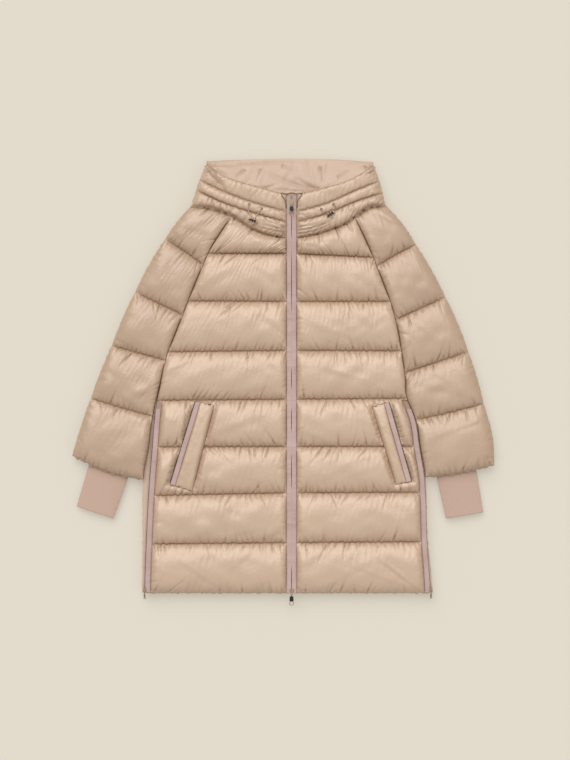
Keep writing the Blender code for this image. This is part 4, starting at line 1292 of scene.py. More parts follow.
@dataclass
class Ribbing:
    """A zip tape laid along a line, its edge by the teeth turned down toward them."""

    name: str
    nodes: tuple[str, ...]
    under: str
    inner: np.ndarray
    outer: np.ndarray
    low_inner: np.ndarray | float
    low_outer: np.ndarray | float
    turned: float = 1.4  # how much of it is turned down by the teeth
    turn_radius: float = 0.6
    wave: float = 0.35  # how far it lies unevenly
    kinks: tuple = ()  # heights at which a seam lifts it
    kink_rise: float = 1.1
    kink_width: float = 2.4
    seed: int = 3
    flat: tuple[float, float] = field(default=(0.0, 0.0), init=False)  # its cut, m

    def build(self) -> bpy.types.Object:
        """Carry the tape's section along it.

        The section's middle line runs level from the outer edge, round a quarter circle and then
        down; the skin lies half the thickness to either side of it and closes in at both ends.
        """
        count = len(self.inner)
        wide = np.linalg.norm(self.outer - self.inner, axis=1)
        bend = min(self.turn_radius, self.turned)
        curl = math.pi / 2 * bend
        cut = wide - bend + curl + max(self.turned - bend, 0.0)
        run = TAPE_SHARES * cut[:, None]
        level = wide[:, None] - bend
        arc = np.clip((run - level) / bend, 0, math.pi / 2) if bend else 0 * run
        down = np.maximum(run - level - curl, 0)
        x = np.minimum(run, level) + bend * np.sin(arc)
        z = -bend * (1 - np.cos(arc)) - down
        ends = np.minimum(TAPE_SHARES, 1 - TAPE_SHARES) * cut[:, None]
        half = TAPE / 2 * np.sqrt(1 - (1 - np.clip(ends / (TAPE / 2), 0, 1)) ** 2)
        over = np.concatenate((x + half * np.sin(arc), (x - half * np.sin(arc))[:, -2:0:-1]), 1)
        tall = np.concatenate((z + half * np.cos(arc), (z - half * np.cos(arc))[:, -2:0:-1]), 1)
        way = (over / wide[:, None])[:, :, None]
        ground = self.outer[:, None] * (1 - way) + self.inner[:, None] * way
        low = (np.broadcast_to(self.low_outer, count)[:, None] * (1 - way[..., 0])
               + np.broadcast_to(self.low_inner, count)[:, None] * way[..., 0])
        ripple = self.wave * np.abs(Chance(self.seed).field((8, count), 3.0, 9, 30, 1)[0][:, None])
        for at in self.kinks:
            off = np.abs(self.inner[:, 1:2] - at)
            ripple = ripple + self.kink_rise * np.exp(-off / self.kink_width)
        sections = np.concatenate((ground, (low + TAPE / 2 + tall + ripple)[..., None]), -1)
        (ax, ay), (bx, by) = (self.inner - self.outer)[0], self.inner[-1] - self.inner[0]
        if ax * by - ay * bx < 0:
            sections = sections[:, ::-1]
        length = np.linalg.norm(np.diff((self.inner + self.outer) / 2, axis=0), axis=1).sum()
        piece = sections_mesh(self.name, sections, Finish.TAPE)
        on_coat(piece, Slot.TAPE, *self.nodes)
        self.flat = (float(cut.mean()) * MM, float(length) * MM)
        return piece


def tooth_row(name: str, node: str, line: np.ndarray, size: tuple[float, float, float],
              pitch: float = 2.6, spread: float = 0.35) -> bpy.types.Object:
    """Two interlocked rows of zip teeth along a line.

    Args:
        name: the piece's name.
        node: the CAD node that it stands for.
        line: the middle of the teeth's feet, mm.
        size: each tooth's length along the line, its width across and its height.
        pitch: distance between two teeth of one row.
        spread: how far each row's middle lies beside the line.

    Returns:
        One mesh of all the teeth, each a block whose top is set in.
    """
    long, wide, tall = size
    ring = np.array(((-1, -1), (1, -1), (1, 1), (-1, 1)))
    points = np.vstack([np.column_stack((ring * (long / 2 * s, wide / 2 * s), np.full(4, z)))
                        for s, z in ((1.0, 0.0), (1.0, tall * 0.65), (0.6, tall))])
    faces = [(3, 2, 1, 0), (8, 9, 10, 11)]
    faces += [(4 * i + k, 4 * i + (k + 1) % 4, 4 * i + 4 + (k + 1) % 4, 4 * i + 4 + k)
              for i in range(2) for k in range(4)]
    middle, along = resample(line, pitch / 2)
    places = frames(middle, along, np.tile((0.0, 0.0, 1.0), (len(middle), 1)))
    sign = np.where(np.arange(len(middle)) % 2, 1, -1)[:, None]
    places[:, :3, 3] += places[:, :3, 1] * sign * spread
    piece = copies(name, points, np.array(faces), places, Finish.TEETH, 30)
    return on_coat(piece, Slot.TEETH, node)


# ---------------- sub-assemblies
def recess_of(corners: Line) -> np.ndarray:
    """The outline that a pocket's welt is set into, wound anticlockwise."""
    outer_foot, inner_foot, inner_top, outer_top = (np.array(c, float) for c in corners)
    foot, top = inner_foot - outer_foot, inner_top - outer_top
    foot, top = foot / np.linalg.norm(foot), top / np.linalg.norm(top)
    length = (outer_top - outer_foot) / np.linalg.norm(outer_top - outer_foot)
    beside, margin = WELT_TEETH + 2 * GAP, 2 * GAP
    outline = np.array((outer_foot - foot * (beside + margin) - length * margin,
                        inner_foot + foot * margin - length * margin,
                        inner_top + top * margin + length * margin,
                        outer_top - top * (beside + margin) + length * margin))
    return outline if outline[1, 0] > outline[0, 0] else outline[::-1]


@dataclass
class Body:
    """The back and the two fronts, with the quilting stitched across them."""

    fronts: dict[str, PaddedPiece] = field(default_factory=dict)

    def build(self) -> None:
        """Make the back, the fronts and their stitches."""
        rows = [across(BACK_SIDE_L, BACK_SIDE_R, left, right) for left, _, right in BODY_SEAMS]
        rows.append(moved(BACK_NECK, 0, -GAP))
        back = PaddedPiece("back_panel", rows, MID, BACK_SEAM, BACK_PUFF, up=False,
                           left=moved(BACK_SIDE_L, GAP), right=moved(BACK_SIDE_R, -GAP),
                           ledge_walls=(BACK_EDGE, BACK_EDGE), rounds=(SIDE_ROUND, SIDE_ROUND),
                           most=MID, step=BACK_STEP, swell=(1.5, 0.8, 0, 0.8), seed=11).build()
        Stitching().run("back_stitches", back.seam_lines(), -1.0)
        zip_edge = ((0, -1), (0, 1000))
        left = [across(FRONT_SIDE_L, zip_edge, at, middle) for at, middle, _ in BODY_SEAMS]
        left.append(stretch(HOOD_EDGE_L, BACK_SIDE_L[-1][0], 0, -NECK_GAP))
        right = [across(zip_edge, FRONT_SIDE_R, middle, at) for _, middle, at in BODY_SEAMS]
        right.append(stretch(HOOD_EDGE_R, 0, BACK_SIDE_R[-1][0], -NECK_GAP))
        self.fronts["left"] = PaddedPiece(
            "front_left", left, FRONT, BAFFLE_SEAM, BAFFLE_PUFF,
            left=moved(FRONT_SIDE_L, GAP), right=moved(zip_edge, -GAP / 2),
            ledges=(SIDE_LEDGE, ZIP_LEDGE), ledge_walls=(SIDE_LEDGE_WALL, ZIP_LEDGE_WALL),
            ledge_tops=(SIDE_LEDGE_TOP, math.inf), recess=recess_of(WELT_L),
            swell=(1.2, 0, 0, 0.3), groove=0.8, tuck=4.0, seed=21)
        self.fronts["right"] = PaddedPiece(
            "front_right", right, FRONT, BAFFLE_SEAM, BAFFLE_PUFF,
            left=moved(zip_edge, GAP / 2), right=moved(FRONT_SIDE_R, -GAP),
            ledges=(ZIP_LEDGE, SIDE_LEDGE), ledge_walls=(ZIP_LEDGE_WALL, SIDE_LEDGE_WALL),
            ledge_tops=(math.inf, SIDE_LEDGE_TOP), recess=recess_of(WELT_R),
            swell=(1.2, 0.3, 0, 0), groove=0.8, tuck=4.0, seed=22)
        for side, front in self.fronts.items():
            front.build()
            Stitching().run(f"front_{side}_stitches", front.seam_lines())


@dataclass
class Sleeve:
    """A raglan sleeve's front and back half, and the knitted cuff inside its hem."""

    side: str
    outer: Line
    inner: Line
    seams: tuple
    hood_edge: Line
    cuff: tuple
    seed: int

    def build(self) -> None:
        """Make both halves, their stitches and the cuff."""
        is_left = self.side == "left"
        neck_x = self.inner[-1][0]
        shift = -GAP if is_left else GAP
        inner = moved(self.inner, shift)
        rows = []
        for at_outer, at_inner, sag in self.seams:
            row = across(self.outer, inner, at_outer, at_inner, sag)
            rows.append(row if is_left else row[::-1])
        ends = (self.outer[0][0], neck_x + shift)
        rows.append(stretch(self.hood_edge, min(ends), max(ends), -NECK_GAP))
        left, right = (self.outer, inner) if is_left else (inner, self.outer)
        shape = {"left": left, "right": right,
                 "rounds": (SIDE_ROUND, SEAM_ROUND) if is_left else (SEAM_ROUND, SIDE_ROUND),
                 "scallops": (SCALLOP, 0) if is_left else (0, SCALLOP),
                 "swell": (2.0, 0, 0, 0.8) if is_left else (2.0, 0.8, 0, 0),
                 "finish": Finish.SLEEVE, "groove": 0.8}
        front = PaddedPiece(
            f"sleeve_{self.side}_front", rows, FRONT, BAFFLE_SEAM, SLEEVE_PUFF, tuck=5.0,
            ledge_walls=(EDGE, RAGLAN_EDGE) if is_left else (RAGLAN_EDGE, EDGE), seed=self.seed,
            **shape).build()
        back = PaddedPiece(
            f"sleeve_{self.side}_back", rows, MID, BACK_SEAM, BACK_PUFF, up=False, most=MID,
            ledge_walls=(BACK_EDGE, BACK_EDGE), step=BACK_STEP, seed=self.seed + 1,
            **shape).build()
        Stitching().run(f"sleeve_{self.side}_stitches", front.seam_lines())
        Stitching().run(f"sleeve_{self.side}_back_stitches", back.seam_lines(), -1.0)
        self.build_cuff()

    def build_cuff(self, ribs: int = 104, per_rib: int = 4, courses: int = 46) -> None:
        """Knit the cuff: a tube pressed flat, its wall raised in ribs along it.

        The section at angle a has share across (1 - cos a) / 2 and height half * sin a, and each
        rib lifts the outer face by RIB_RISE times its own wave.
        """
        (x_outer, x_inner), free_end = self.cuff
        hem = across(self.outer, self.inner, *self.seams[0])
        hem = hem if self.side == "left" else hem[::-1]
        start = stretch(hem, min(x_outer, x_inner), max(x_outer, x_inner), -2 * GAP)
        start = start if self.side == "left" else start[::-1]
        turns = ribs * per_rib
        angle = 2 * np.pi * np.arange(turns) / turns
        even = angle - 0.42 * np.sin(2 * angle) / 2  # closer where the tube turns over
        wave = (1 + np.cos(angle * ribs)) / 2
        end = np.asarray(free_end, float)
        width = np.linalg.norm(end[1] - end[0])
        rings = []
        ways = np.linspace(0, 1, courses)
        for inset in (0.0, CUFF_WALL):
            for way in ways:
                gathers = 1 + 0.10 * (1 - way) ** 2
                lift = RIB_RISE * wave if inset == 0 else 0 * wave
                share = inset / width + (1 - 2 * inset / width) * (1 - np.cos(even)) / 2
                line = (1 - way) * smooth_line(start, share) + way * smooth_line(end, share)
                height = CUFF_Z + (CUFF_HALF * gathers - inset + lift) * np.sin(even)
                rings.append(np.column_stack((line, height)))
        rings = np.array(rings)
        sections = np.concatenate((rings[:courses], rings[courses:][::-1]))
        piece = sections_mesh(f"cuff_{self.side}_knit", self._wound(sections), Finish.RIB, True, None)
        tone = np.tile(wave, (2 * courses, 1))
        course = np.tile(np.arange(2 * courses) % 2, (turns, 1)).T
        for attribute, values in (("wale", tone), ("course", course)):
            layer = piece.data.attributes.new(attribute, "FLOAT", "POINT")
            layer.data.foreach_set("value", values.astype(np.float32).ravel())
        on_coat(piece, Slot.RIB, f"cuff_{self.side}")
        length = np.linalg.norm(end.mean(0) - np.mean(start, axis=0))

    def _wound(self, sections: np.ndarray) -> np.ndarray:
        """The sections in the order that turns the skin outwards."""
        return sections if self.side == "left" else sections[:, ::-1]


@dataclass
class Hood:
    """The hood's folded back with its lining up, and the two fronts that lie on it."""

    fronts: dict[str, PaddedPiece] = field(default_factory=dict)
    lining: PaddedPiece | None = None
    lining_cloth: Cloth = Cloth(seam=Gathers(pitch=40, short=30, long=90, depth=0.8, width=6,
                                             lean=0.9, rare=1.5), streaks=0.02,
                                drapes=Drapes(40, 70, 1.2, 5.0, 1.5), bending=0.01, lumps=0.5,
                                steps=12, most=8.0, ragged=0.0)
    front_cloth: Cloth = Cloth(seam=Gathers(9, 10, 44, 3.6, 2.8, 0.7, 1.8),
                               side=Gathers(10, 12, 60, 3.4, 3.4, 0.8, 1.4),
                               drapes=Drapes(60, 110, 1.4, 6.0, 0.5), ragged=0.4)
    layers: tuple = ((5.5, 0), (1.5, 2.5), (0, 6), (1.6, 8.5), (0, 11))

    def build(self) -> None:
        """Make the back, the fronts and their stitches."""
        left, right = moved(HOOD_EDGE_L, 0, GAP), moved(HOOD_EDGE_R, 0, GAP)
        neck = stretch(BACK_NECK, BACK_NECK[0][0], BACK_NECK[1][0], NECK_EASE)
        foot = [*stretch(left, left[0][0], neck[0][0] - 4, 0), *neck,
                *stretch(right, neck[-1][0] + 4, right[-1][0], 0)]
        rim = moved(HOOD_RIM, 0, RIM_EASE)
        self.lining = PaddedPiece(
            "hood_back", [foot, rim, moved(HOOD_RIM, 0, 0.25), HOOD_CROWN], 0.0,
            (MID, MID, MID + 11, 14), (0, 0, 2), ledge_walls=(MID, MID), rounds=(1, 1), step=2.0,
            side_profile=self.layers, cloth=self.lining_cloth, folds=LINING_FOLDS,
            finish=Finish.LINING, slot=Slot.LINING, seam_line_and_shade=0.0, crease_shade=0.10,
            seed=31).build()
        rows = [left, *HOOD_LINES_L, stretch(HOOD_RIM, HOOD_RIM[0][0], 0, 0)]
        shape = {"rise": (8, 5, 3), "step": 1.7, "cloth": self.front_cloth,
                 "gathered": (1.1, 0.7, 0.6), "groove": 2.5, "crease_shade": 0.3}
        self.fronts["left"] = PaddedPiece(
            "hood_front_left", rows, FRONT, right=((-GAP / 2, 0), (-GAP / 2, 1000)),
            rounds=(22, SEAM_ROUND), ledges=(0, ZIP_LEDGE), ledge_walls=(EDGE, ZIP_LEDGE_WALL),
            seam=((19, 9), 15, 15, 17), folds=HOOD_FOLDS_L, swell=(5.0, 0, 0.1, 1.0), seed=32,
            **shape).build()
        rows = [right, *HOOD_LINES_R, stretch(HOOD_RIM, 0, HOOD_RIM[-1][0], 0)]
        self.fronts["right"] = PaddedPiece(
            "hood_front_right", rows, FRONT, left=((GAP / 2, 0), (GAP / 2, 1000)),
            rounds=(SEAM_ROUND, 22), ledges=(ZIP_LEDGE, 0), ledge_walls=(ZIP_LEDGE_WALL, EDGE),
            seam=((9, 19), 15, 15, 17), folds=HOOD_FOLDS_R, swell=(5.0, 1.0, 0.1, 0), seed=33,
            **shape).build()
        for side, front in self.fronts.items():
            Stitching().run(f"hood_{side}_stitches", front.seam_lines())


@dataclass
class Drawcord:
    """One side's two eyelets, its cord and the lock that holds it."""

    side: str
    under: bpy.types.Object

    def build(self) -> None:
        """Make the eyelets, the lock and the cord."""
        places = DRAWCORDS[self.side]
        height = surface_under(self.under)
        turn = math.radians(places["turn"])
        mid = np.array(places["lock"])
        along = np.array((math.cos(turn), math.sin(turn)))
        down = np.array((math.sin(turn), -math.cos(turn)))
        wide, long, tall = LOCK_SIZE
        corners = [mid + along * sx * wide / 2 + down * sy * long / 2
                   for sx in (-1, 0, 1) for sy in (-1, 0, 1)]
        foot = max(height(*corner) for corner in corners) + GAP
        lock = self._lock(foot, turn, mid)
        ends = []
        for k, (x, y) in enumerate(places["eyelets"]):
            r = EYELET_OUTER
            slope = ((height(x + r, y) - height(x - r, y)) / (2 * r),
                     (height(x, y + r) - height(x, y - r)) / (2 * r))
            normal = np.array((-slope[0], -slope[1], 1.0))
            normal /= np.linalg.norm(normal)
            start = np.array((x, y, height(x, y))) + normal * GAP
            self._eyelet(k + 1, start, normal)
            end = mid + along * (k - 0.5) * CORDS_APART - down * long / 2
            by = [np.array((px, py, height(px, py) + CORD_RADIUS + GAP))
                  for px, py in places["by"][k]]
            toward = by[0] - start
            over = start + toward / np.linalg.norm(toward) * (EYELET_OUTER + CORD_RADIUS)
            over[2] = max(start[2], height(over[0], over[1])) + EYELET_TALL + 2 * CORD_RADIUS
            ends.append([start, start + normal * (EYELET_TALL + 2.2 * CORD_RADIUS), over, *by,
                         np.array((*(end - down * 1.0), foot + tall / 2))])
        loop = [np.array((*(mid + along * sx * CORDS_APART / 2 + down * sy * long), foot + tall / 2))
                for sx, sy in ((-1, 0.2), (-0.9, 0.8), (0, 1.15), (0.9, 0.8), (1, 0.2))]
        route = np.array([*ends[0], *loop, *ends[1][::-1]])
        line = smooth_line(route, np.linspace(0, 1, 70))
        self._cord(line)

    def _eyelet(self, number: int, start: np.ndarray, normal: np.ndarray) -> None:
        """A rolled metal ring, its tube flattened to the eyelet's height."""
        ring = (EYELET_INNER + EYELET_OUTER) / 2
        tube = (EYELET_OUTER - EYELET_INNER) / 2
        angle = 2 * np.pi * np.arange(24) / 24
        around = 2 * np.pi * np.arange(10) / 10
        radius = ring + tube * np.cos(around)[None, :]
        local = np.stack((radius * np.cos(angle)[:, None], radius * np.sin(angle)[:, None],
                          np.broadcast_to(EYELET_TALL * (0.5 + 0.5 * np.sin(around)), (24, 10))), -1)
        turn = np.array(Vector(normal).to_track_quat("Z", "Y").to_matrix())
        sections = (local @ turn.T + start)[:, ::-1]
        node = f"eyelet_{self.side}_{number}"
        piece = sections_mesh(f"{node}_ring", sections, Finish.DARK_METAL, True, None)
        on_coat(piece, Slot.METAL, node)

    def _lock(self, foot: float, turn: float, mid: np.ndarray) -> list:
        """A small barrel lock with a collar at both ends, each of squared oval section."""
        wide, long, tall = LOCK_SIZE
        ways = np.linspace(-1, 1, 15)
        angle = 2 * np.pi * np.arange(20) / 20
        girth = (1 - np.abs(ways) ** 4) ** 0.35 * 0.92 + 0.08
        across, up = squared(angle, 0.6)
        parts = []
        for name, centre, half, slim, finish, slot in (
                ("barrel", 0.0, wide / 2 * 1.1, 0.72, Finish.ENAMEL, Slot.ENAMEL),
                ("collar", wide / 2 * 1.2, 1.5, 0.86, Finish.METAL, Slot.METAL),
                ("collar_far", -wide / 2 * 1.2, 1.0, 0.8, Finish.METAL, Slot.METAL)):
            x = np.broadcast_to(centre + ways[:, None] * half, (15, 20))
            y = girth[:, None] * long / 2 * slim * across
            z = girth[:, None] * tall / 2 * slim * up
            skin = np.stack((x * math.cos(turn) - y * math.sin(turn) + mid[0],
                             x * math.sin(turn) + y * math.cos(turn) + mid[1],
                             z + foot + tall / 2 * slim), -1)
            piece = sections_mesh(f"cord_lock_{self.side}_{name}", skin, finish)
            nodes = (f"cord_lock_{self.side}",) if name == "barrel" else ()
            parts.append(on_coat(piece, slot, *nodes))
        return parts

    def _cord(self, line: np.ndarray) -> None:
        """The cord as one curve from eyelet to eyelet, through the lock."""
        name = f"drawcord_{self.side}"
        curve = bpy.data.curves.new(name, "CURVE")
        curve.dimensions = "3D"
        curve.bevel_depth = CORD_RADIUS * MM
        curve.bevel_resolution = 3
        curve.use_fill_caps = True
        spline = curve.splines.new("POLY")
        spline.points.add(len(line) - 1)
        points = to_frame(line)
        spline.points.foreach_set("co", np.column_stack((points, np.ones(len(line)))).ravel())
        curve.materials.append(Finish.CORD.material)
        piece = bpy.data.objects.new(name, curve)
        bpy.context.scene.collection.objects.link(piece)
        on_coat(piece, Slot.CORD, f"{name}_1", f"{name}_2")


@dataclass
class FrontZip:
    """The front zip: two tapes that meet over a row of teeth, and part in a few places."""

    teeth: tuple = (1.7, 2.0, 1.5)
    pitch: float = 3.0
    spread: float = 0.75
    step: float = 2.5
    parted: tuple = ((1, 58), (215, 291), (333, 387), (425, 469), (581, 713), (738, 790))
    closed_half: float = 0.2  # half the gap between the tapes where they meet
    parted_half: float = 0.95  # and how much wider in the middle of a parted place
    flare: float = 3.4  # how much wider at the top, where they turn outwards
    flare_length: float = 26

    def build(self) -> None:
        """Make the teeth and both tapes."""
        ys = np.arange(1.0, ZIP_TOP - 12, self.step)
        line = np.column_stack((np.zeros(len(ys)), ys, np.full(len(ys), ZIP_FACE + 0.2)))
        tooth_row("front_zip_teeth_row", "front_zip_teeth", line, self.teeth, self.pitch, self.spread)
        ys = np.append(np.arange(0.5, ZIP_TOP, self.step), ZIP_TOP)
        gap = np.zeros(len(ys))
        for low, high in self.parted:
            share = np.clip((ys - low) / (high - low), 0, 1)
            gap = np.maximum(gap, np.sin(np.pi * share) ** 0.5)
        share = np.clip((ys - (ZIP_TOP - self.flare_length)) / self.flare_length, 0, 1)
        flare = share ** 1.5 * self.flare
        inner = self.closed_half + self.parted_half * gap + flare
        outer = np.full(len(ys), ZIP_LEDGE - GAP) + flare * 0.1
        kinks = tuple(middle + shift for _, middle, _ in BODY_SEAMS[1:-1] for shift in (-34, 0, 41))
        for side, sign in (("left", -1), ("right", 1)):
            tape = Ribbing(f"front_zip_tape_{side}_ribbon", (f"front_zip_tape_{side}",),
                           f"front_{side}", np.column_stack((sign * inner, ys)),
                           np.column_stack((sign * outer, ys)), ZIP_FACE + 1.5, ZIP_FACE,
                           kinks=kinks, seed=6 + sign)
            tape.build()
            seam = np.column_stack((np.full(len(ys), sign * (ZIP_LEDGE - THREAD_INSET)), ys,
                                    np.full(len(ys), ZIP_FACE + TAPE + 0.3)))
            TAPE_STITCHES.run(f"front_zip_{side}_stitches", [seam])


@dataclass
class ZipBinding:
    """The narrow binding round the top of the front zip, where its tapes end under the rim."""

    half: tuple = ((22, 833), (19.0, 826), (15.0, 820.5), (12.2, 813), (11.8, 802))
    top: tuple = ((-22, 833), (-11, 831.6), (0, 834.0), (11, 831.8), (22, 833))
    radius: float = 1.0

    def build(self, *under: bpy.types.Object) -> None:
        """Carry a round section along the top and down both sides, on what lies under it."""
        height = surface_under(*under)
        left = tuple((-x, y) for x, y in self.half)
        for name, line in (("top", self.top), ("left", left), ("right", self.half)):
            plan = smooth_line(line, np.linspace(0, 1, 40))
            z = np.array([max(height(x, y - 0.8), height(x, y + 0.8)) for x, y in plan])
            z = np.convolve(np.pad(z, 3, mode="edge"), np.ones(7) / 7, "valid") + 0.5
            path = np.column_stack((plan, z))
            along = np.gradient(path, axis=0)
            along /= np.linalg.norm(along, axis=1)[:, None]
            places = frames(path, along, np.tile((0.0, 0.0, 1.0), (len(path), 1)))
            around = 2 * np.pi * np.arange(8) / 8
            round_section = np.stack((np.cos(around), np.sin(around)), -1) * self.radius
            sections = path[:, None] + np.einsum("nij,kj->nki", places[:, :3, 1:3], round_section)
            on_coat(sections_mesh(f"front_zip_binding_{name}", sections, Finish.BINDING), Slot.TAPE)


@dataclass
class SideZips:
    """The side vents' zips: teeth, each front's tape and, on the left, the back's as well."""

    step: float = 3.0
    teeth: tuple = (1.4, 1.1, 2.6)
    back_tape: tuple = (2.4, 5.2)  # how far its edges lie off the front's

    def build(self) -> None:
        """Make the tapes and teeth of both sides."""
        ys = np.arange(1.0, SIDE_ZIP_TOP - 4, self.step)
        xs = edge_x(FRONT_SIDE_L, ys)
        back = Ribbing("side_zip_left_back_ribbon", ("side_zip_left_tape_back",), "back_panel",
                       np.column_stack((xs - self.back_tape[0], ys)),
                       np.column_stack((xs - self.back_tape[1], ys)), FRONT, FRONT, turned=0.0,
                       seed=10).build()
        for side, edge, sign, teeth_top in (("left", FRONT_SIDE_L, 1, SIDE_ZIP_TOP - 4),
                                            ("right", FRONT_SIDE_R, -1, SIDE_TEETH_TOP_R)):
            ys = np.append(np.arange(1.0, SIDE_ZIP_TOP, self.step), SIDE_ZIP_TOP)
            xs = edge_x(edge, ys)
            tape = Ribbing(f"side_zip_{side}_ribbon", (f"side_zip_{side}_tape_front",),
                           f"front_{side}", np.column_stack((xs - sign * 0.4, ys)),
                           np.column_stack((xs + sign * (SIDE_LEDGE - GAP), ys)),
                           SIDE_FACE, SIDE_FACE, turned=2.0, seed=8 + sign)
            tape.build()
            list([back] if side == "left" else [])
            seam = np.column_stack((xs + sign * (SIDE_LEDGE - THREAD_INSET), ys,
                                    np.full(len(ys), SIDE_FACE + TAPE + 0.2)))
            TAPE_STITCHES.run(f"side_zip_{side}_stitches", [seam])
            ys = np.arange(1.0, teeth_top, self.step)
            xs = edge_x(edge, ys) - sign * 1.15
            line = np.column_stack((xs, ys, np.full(len(ys), FRONT + 2.0)))
            tooth_row(f"side_zip_{side}_teeth_row", f"side_zip_{side}_teeth", line, self.teeth)


@dataclass
class Pocket:
    """A slanted welt with a tape on its outer edge and the teeth beside that."""

    side: str
    corners: Line
    seed: int
    teeth: tuple = (1.4, 1.1, 6.0)
    cloth: Cloth = Cloth(seam=Gathers(12, 5, 20, 0.8, 2.5, 0.4), drapes=Drapes(24, 30, 0.9, 3.5, 1.3),
                         side=Gathers(9, 6, 18, 1.0, 2.4, 0.6), lumps=0.5, most=3.0)

    def build(self) -> None:
        """Make the welt, its tape and its teeth."""
        outer_foot, inner_foot, inner_top, outer_top = (np.array(c, float) for c in self.corners)
        foot, top = inner_foot - outer_foot, inner_top - outer_top
        foot, top = foot / np.linalg.norm(foot), top / np.linalg.norm(top)
        low = RECESS_FLOOR + GAP
        rows = [(outer_foot, inner_foot), (outer_top, inner_top)]
        order = slice(None) if self.side == "left" else slice(None, None, -1)
        rows = [row[order] for row in rows]
        welt = PaddedPiece(
            f"pocket_{self.side}_welt", rows, low, WELT_END, WELT_PUFF,
            ledges=(WELT_TAPE, 0)[order], ledge_walls=(WELT_LEDGE_WALL, 6.5)[order],
            rounds=(7, 9)[order], cloth=self.cloth, seed=self.seed).build()
        inner = welt.points[:, -3 if self.side == "left" else 2]
        WELT_STITCHES.run(f"pocket_{self.side}_stitches", [inner])
        face = low + WELT_LEDGE_WALL + GAP
        ways = np.linspace(0, 1, 60)[:, None]
        near = (outer_foot - foot * 0.7) * (1 - ways) + (outer_top - top * 0.7) * ways
        far = ((outer_foot + foot * (WELT_TAPE - GAP)) * (1 - ways)
               + (outer_top + top * (WELT_TAPE - GAP)) * ways)
        tape = Ribbing(f"pocket_{self.side}_ribbon", (f"pocket_{self.side}_tape",),
                       f"pocket_{self.side}_welt", near, far, face, face, seed=self.seed + 1)
        tape.build()
        beside = WELT_TEETH / 2 + GAP
        line = (outer_foot - foot * beside) * (1 - ways) + (outer_top - top * beside) * ways
        line = np.column_stack((line, np.full(60, low + 4.0)))
        node = f"pocket_{self.side}_teeth"
        tooth_row(f"{node}_row", node, line, self.teeth)


@dataclass
class Pull:
    """A zip's pull: a neck on the slider's pin, a bar and a wire ring at its end."""

    name: str
    body: str
    place: tuple[float, float]  # the pin, mm
    width: float
    length: float
    droop: float  # degrees below level
    bar_finish: Finish = Finish.ENAMEL
    neck_half: float = 1.0
    wire: float = 0.75
    pin_height: float = 4.9  # above the slider's foot

    def build(self) -> None:
        """Make the three pieces, with the pin as their middle."""
        low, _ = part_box(f"{self.name}_slider")
        pin = np.array((*self.place, low.z / MM + self.pin_height))
        turn = np.array(Matrix.Rotation(math.radians(self.droop), 3, "X"))
        ring_long = min(self.width, 0.42 * self.length)
        bar_end = -(self.length - ring_long)
        neck = self._block(0.9, -4.6, self.neck_half, self.neck_half, 0.9)
        bar = self._block(-3.9, bar_end, self.width * 0.42, self.width * 0.5, 1.1)
        ring = self._ring(bar_end + 0.6, -self.length + self.wire)
        for part, skin, finish, closed in (("neck", neck, Finish.METAL, False),
                                           ("bar", bar, self.bar_finish, False),
                                           ("ring", ring, Finish.METAL, True)):
            piece = sections_mesh(f"{self.name}_pull_{part}", skin @ turn.T + pin, finish, closed)
            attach(piece, self.body)
            if part == "bar":
                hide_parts(f"{self.name}_pull")
            LOG.info("%s", piece.name)

    def _block(self, top: float, foot: float, half_top: float, half_foot: float,
               half_thick: float) -> np.ndarray:
        """A rounded block from one y to another, whose section is a squared oval."""
        ways = np.linspace(-1, 1, 15)
        girth = ((1 - np.abs(ways) ** 6) ** 0.4 * 0.9 + 0.1)[:, None]
        share = ((ways + 1) / 2)[:, None]
        x, z = squared(2 * np.pi * np.arange(20) / 20, 0.5)
        wide = (half_top * (1 - share) + half_foot * share) * girth
        y = np.broadcast_to(top + (foot - top) * share, (15, 20))
        return np.stack((x * wide, y, z * half_thick * girth), -1)

    def _ring(self, top: float, foot: float) -> np.ndarray:
        """A wire of round section along a squared oval."""
        angle = 2 * np.pi * np.arange(36) / 36
        x, y = squared(angle, 0.62)
        path = np.column_stack((x * (self.width / 2 - self.wire), (top + foot) / 2
                                + y * (top - foot) / 2, np.zeros(36)))
        ahead = np.roll(path, -1, axis=0) - np.roll(path, 1, axis=0)
        side = np.column_stack((ahead[:, 1], -ahead[:, 0], np.zeros(36)))
        side /= np.linalg.norm(side, axis=1)[:, None]
        around = 2 * np.pi * np.arange(10) / 10
        level = side[:, None] * (np.cos(around) * self.wire)[None, :, None]
        up = np.array((0, 0, 1.0)) * (np.sin(around) * self.wire)[:, None]
        return path[:, None] + level - up[None]


@dataclass
class Hardware:
    """The sliders, which keep the frame's own shapes, and their pulls."""

    pulls: tuple[Pull, ...] = (
        Pull("front_top", "top_pull", (0.0, 809.5), 8.6, 23.0, 0.0),
        Pull("front_bottom", "bottom_pull", (0.0, -1.5), 9.0, 25.5, 18.0),
        Pull("side_left", "left_pull", (-306.4, 3.4), 4.2, 18.0, 25.0, Finish.METAL),
        Pull("side_right", "right_pull", (290.8, 4.4), 4.2, 18.0, 25.0, Finish.METAL),
    )

    def build(self) -> None:
        """Give each slider its metal, and make its pull."""
        for pull in self.pulls:
            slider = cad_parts[f"{pull.name}_slider"]
            slider.data.materials.clear()
            slider.data.materials.append(Finish.METAL.material)
            pull.build()


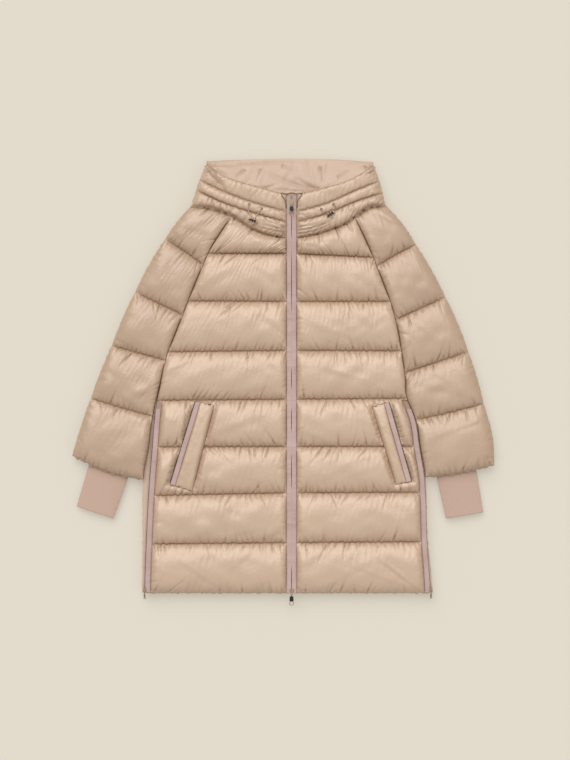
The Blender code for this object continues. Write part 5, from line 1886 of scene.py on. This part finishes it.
@dataclass(frozen=True)
class Studio:
    """A pale floor, soft light and a camera straight above."""

    middle: tuple[float, float] = (-13.65, 444.15)  # what the camera looks at, mm
    tall: float = 1.596  # height of the view on the floor, m
    away: float = 4.0
    sensor: float = 36.0
    floor: tuple = (0.668, 0.620, 0.530)
    glow: float = 0.45  # the share of the floor's light that it gives itself

    def build(self) -> None:
        """Make the floor, the lights and the camera."""
        x, y, _ = to_frame((*self.middle, 0))
        half = 6.0
        mesh = bpy.data.meshes.new("floor")
        mesh.from_pydata([(-half, -half, 0), (half, -half, 0), (half, half, 0), (-half, half, 0)],
                         [], [(0, 1, 2, 3)])
        graph = Graph("floor_paper")
        colour = tuple(part * (1 - self.glow) for part in self.floor)
        floor = make_object("floor", mesh, graph.finish(
            Base_Color=colour, Roughness=0.9, Specular_IOR_Level=0.2,
            Emission_Color=self.floor, Emission_Strength=self.glow * 1.12))
        self._sun("key", (-0.32, 0.95, 1.25), 55, 1.95)
        self._sun("fill", (0.5, -0.4, 1.6), 90, 0.6)
        world = bpy.data.worlds.new("studio")
        world.use_nodes = True
        world.node_tree.nodes["Background"].inputs["Color"].default_value = (1.0, 0.98, 0.95, 1)
        world.node_tree.nodes["Background"].inputs["Strength"].default_value = 0.5
        bpy.context.scene.world = world
        bpy.context.scene.view_settings.view_transform = "Standard"
        data = bpy.data.cameras.new("camera")
        data.sensor_width = self.sensor
        data.lens = self.sensor * self.away / self.tall
        camera = bpy.data.objects.new("camera", data)
        camera.location = (x, y, self.away)
        bpy.context.scene.collection.objects.link(camera)
        bpy.context.scene.camera = camera

    def _sun(self, name: str, toward: tuple, wide: float, power: float) -> None:
        """A far, wide light that shines from a direction."""
        data = bpy.data.lights.new(name, "SUN")
        data.angle = math.radians(wide)
        data.energy = power
        light = bpy.data.objects.new(name, data)
        light.rotation_euler = Vector(toward).to_track_quat("Z", "Y").to_euler()
        bpy.context.scene.collection.objects.link(light)


def main() -> None:
    """Build the coat from its fronts out."""
    logging.basicConfig(level=logging.INFO, format="%(message)s")
    Studio().build()
    hood = Hood()
    hood.build()
    for side, front in hood.fronts.items():
        Drawcord(side, front.piece).build()
    Body().build()
    Sleeve("left", SLEEVE_OUTER_L, BACK_SIDE_L, SLEEVE_SEAMS_L, HOOD_EDGE_L, CUFF_L, 41).build()
    Sleeve("right", SLEEVE_OUTER_R, BACK_SIDE_R, SLEEVE_SEAMS_R, HOOD_EDGE_R, CUFF_R, 51).build()
    Pocket("left", WELT_L, 61).build()
    Pocket("right", WELT_R, 71).build()
    FrontZip().build()
    ZipBinding().build(hood.lining.piece, *(front.piece for front in hood.fronts.values()))
    SideZips().build()
    Hardware().build()


if __name__ == "__main__":
    main()
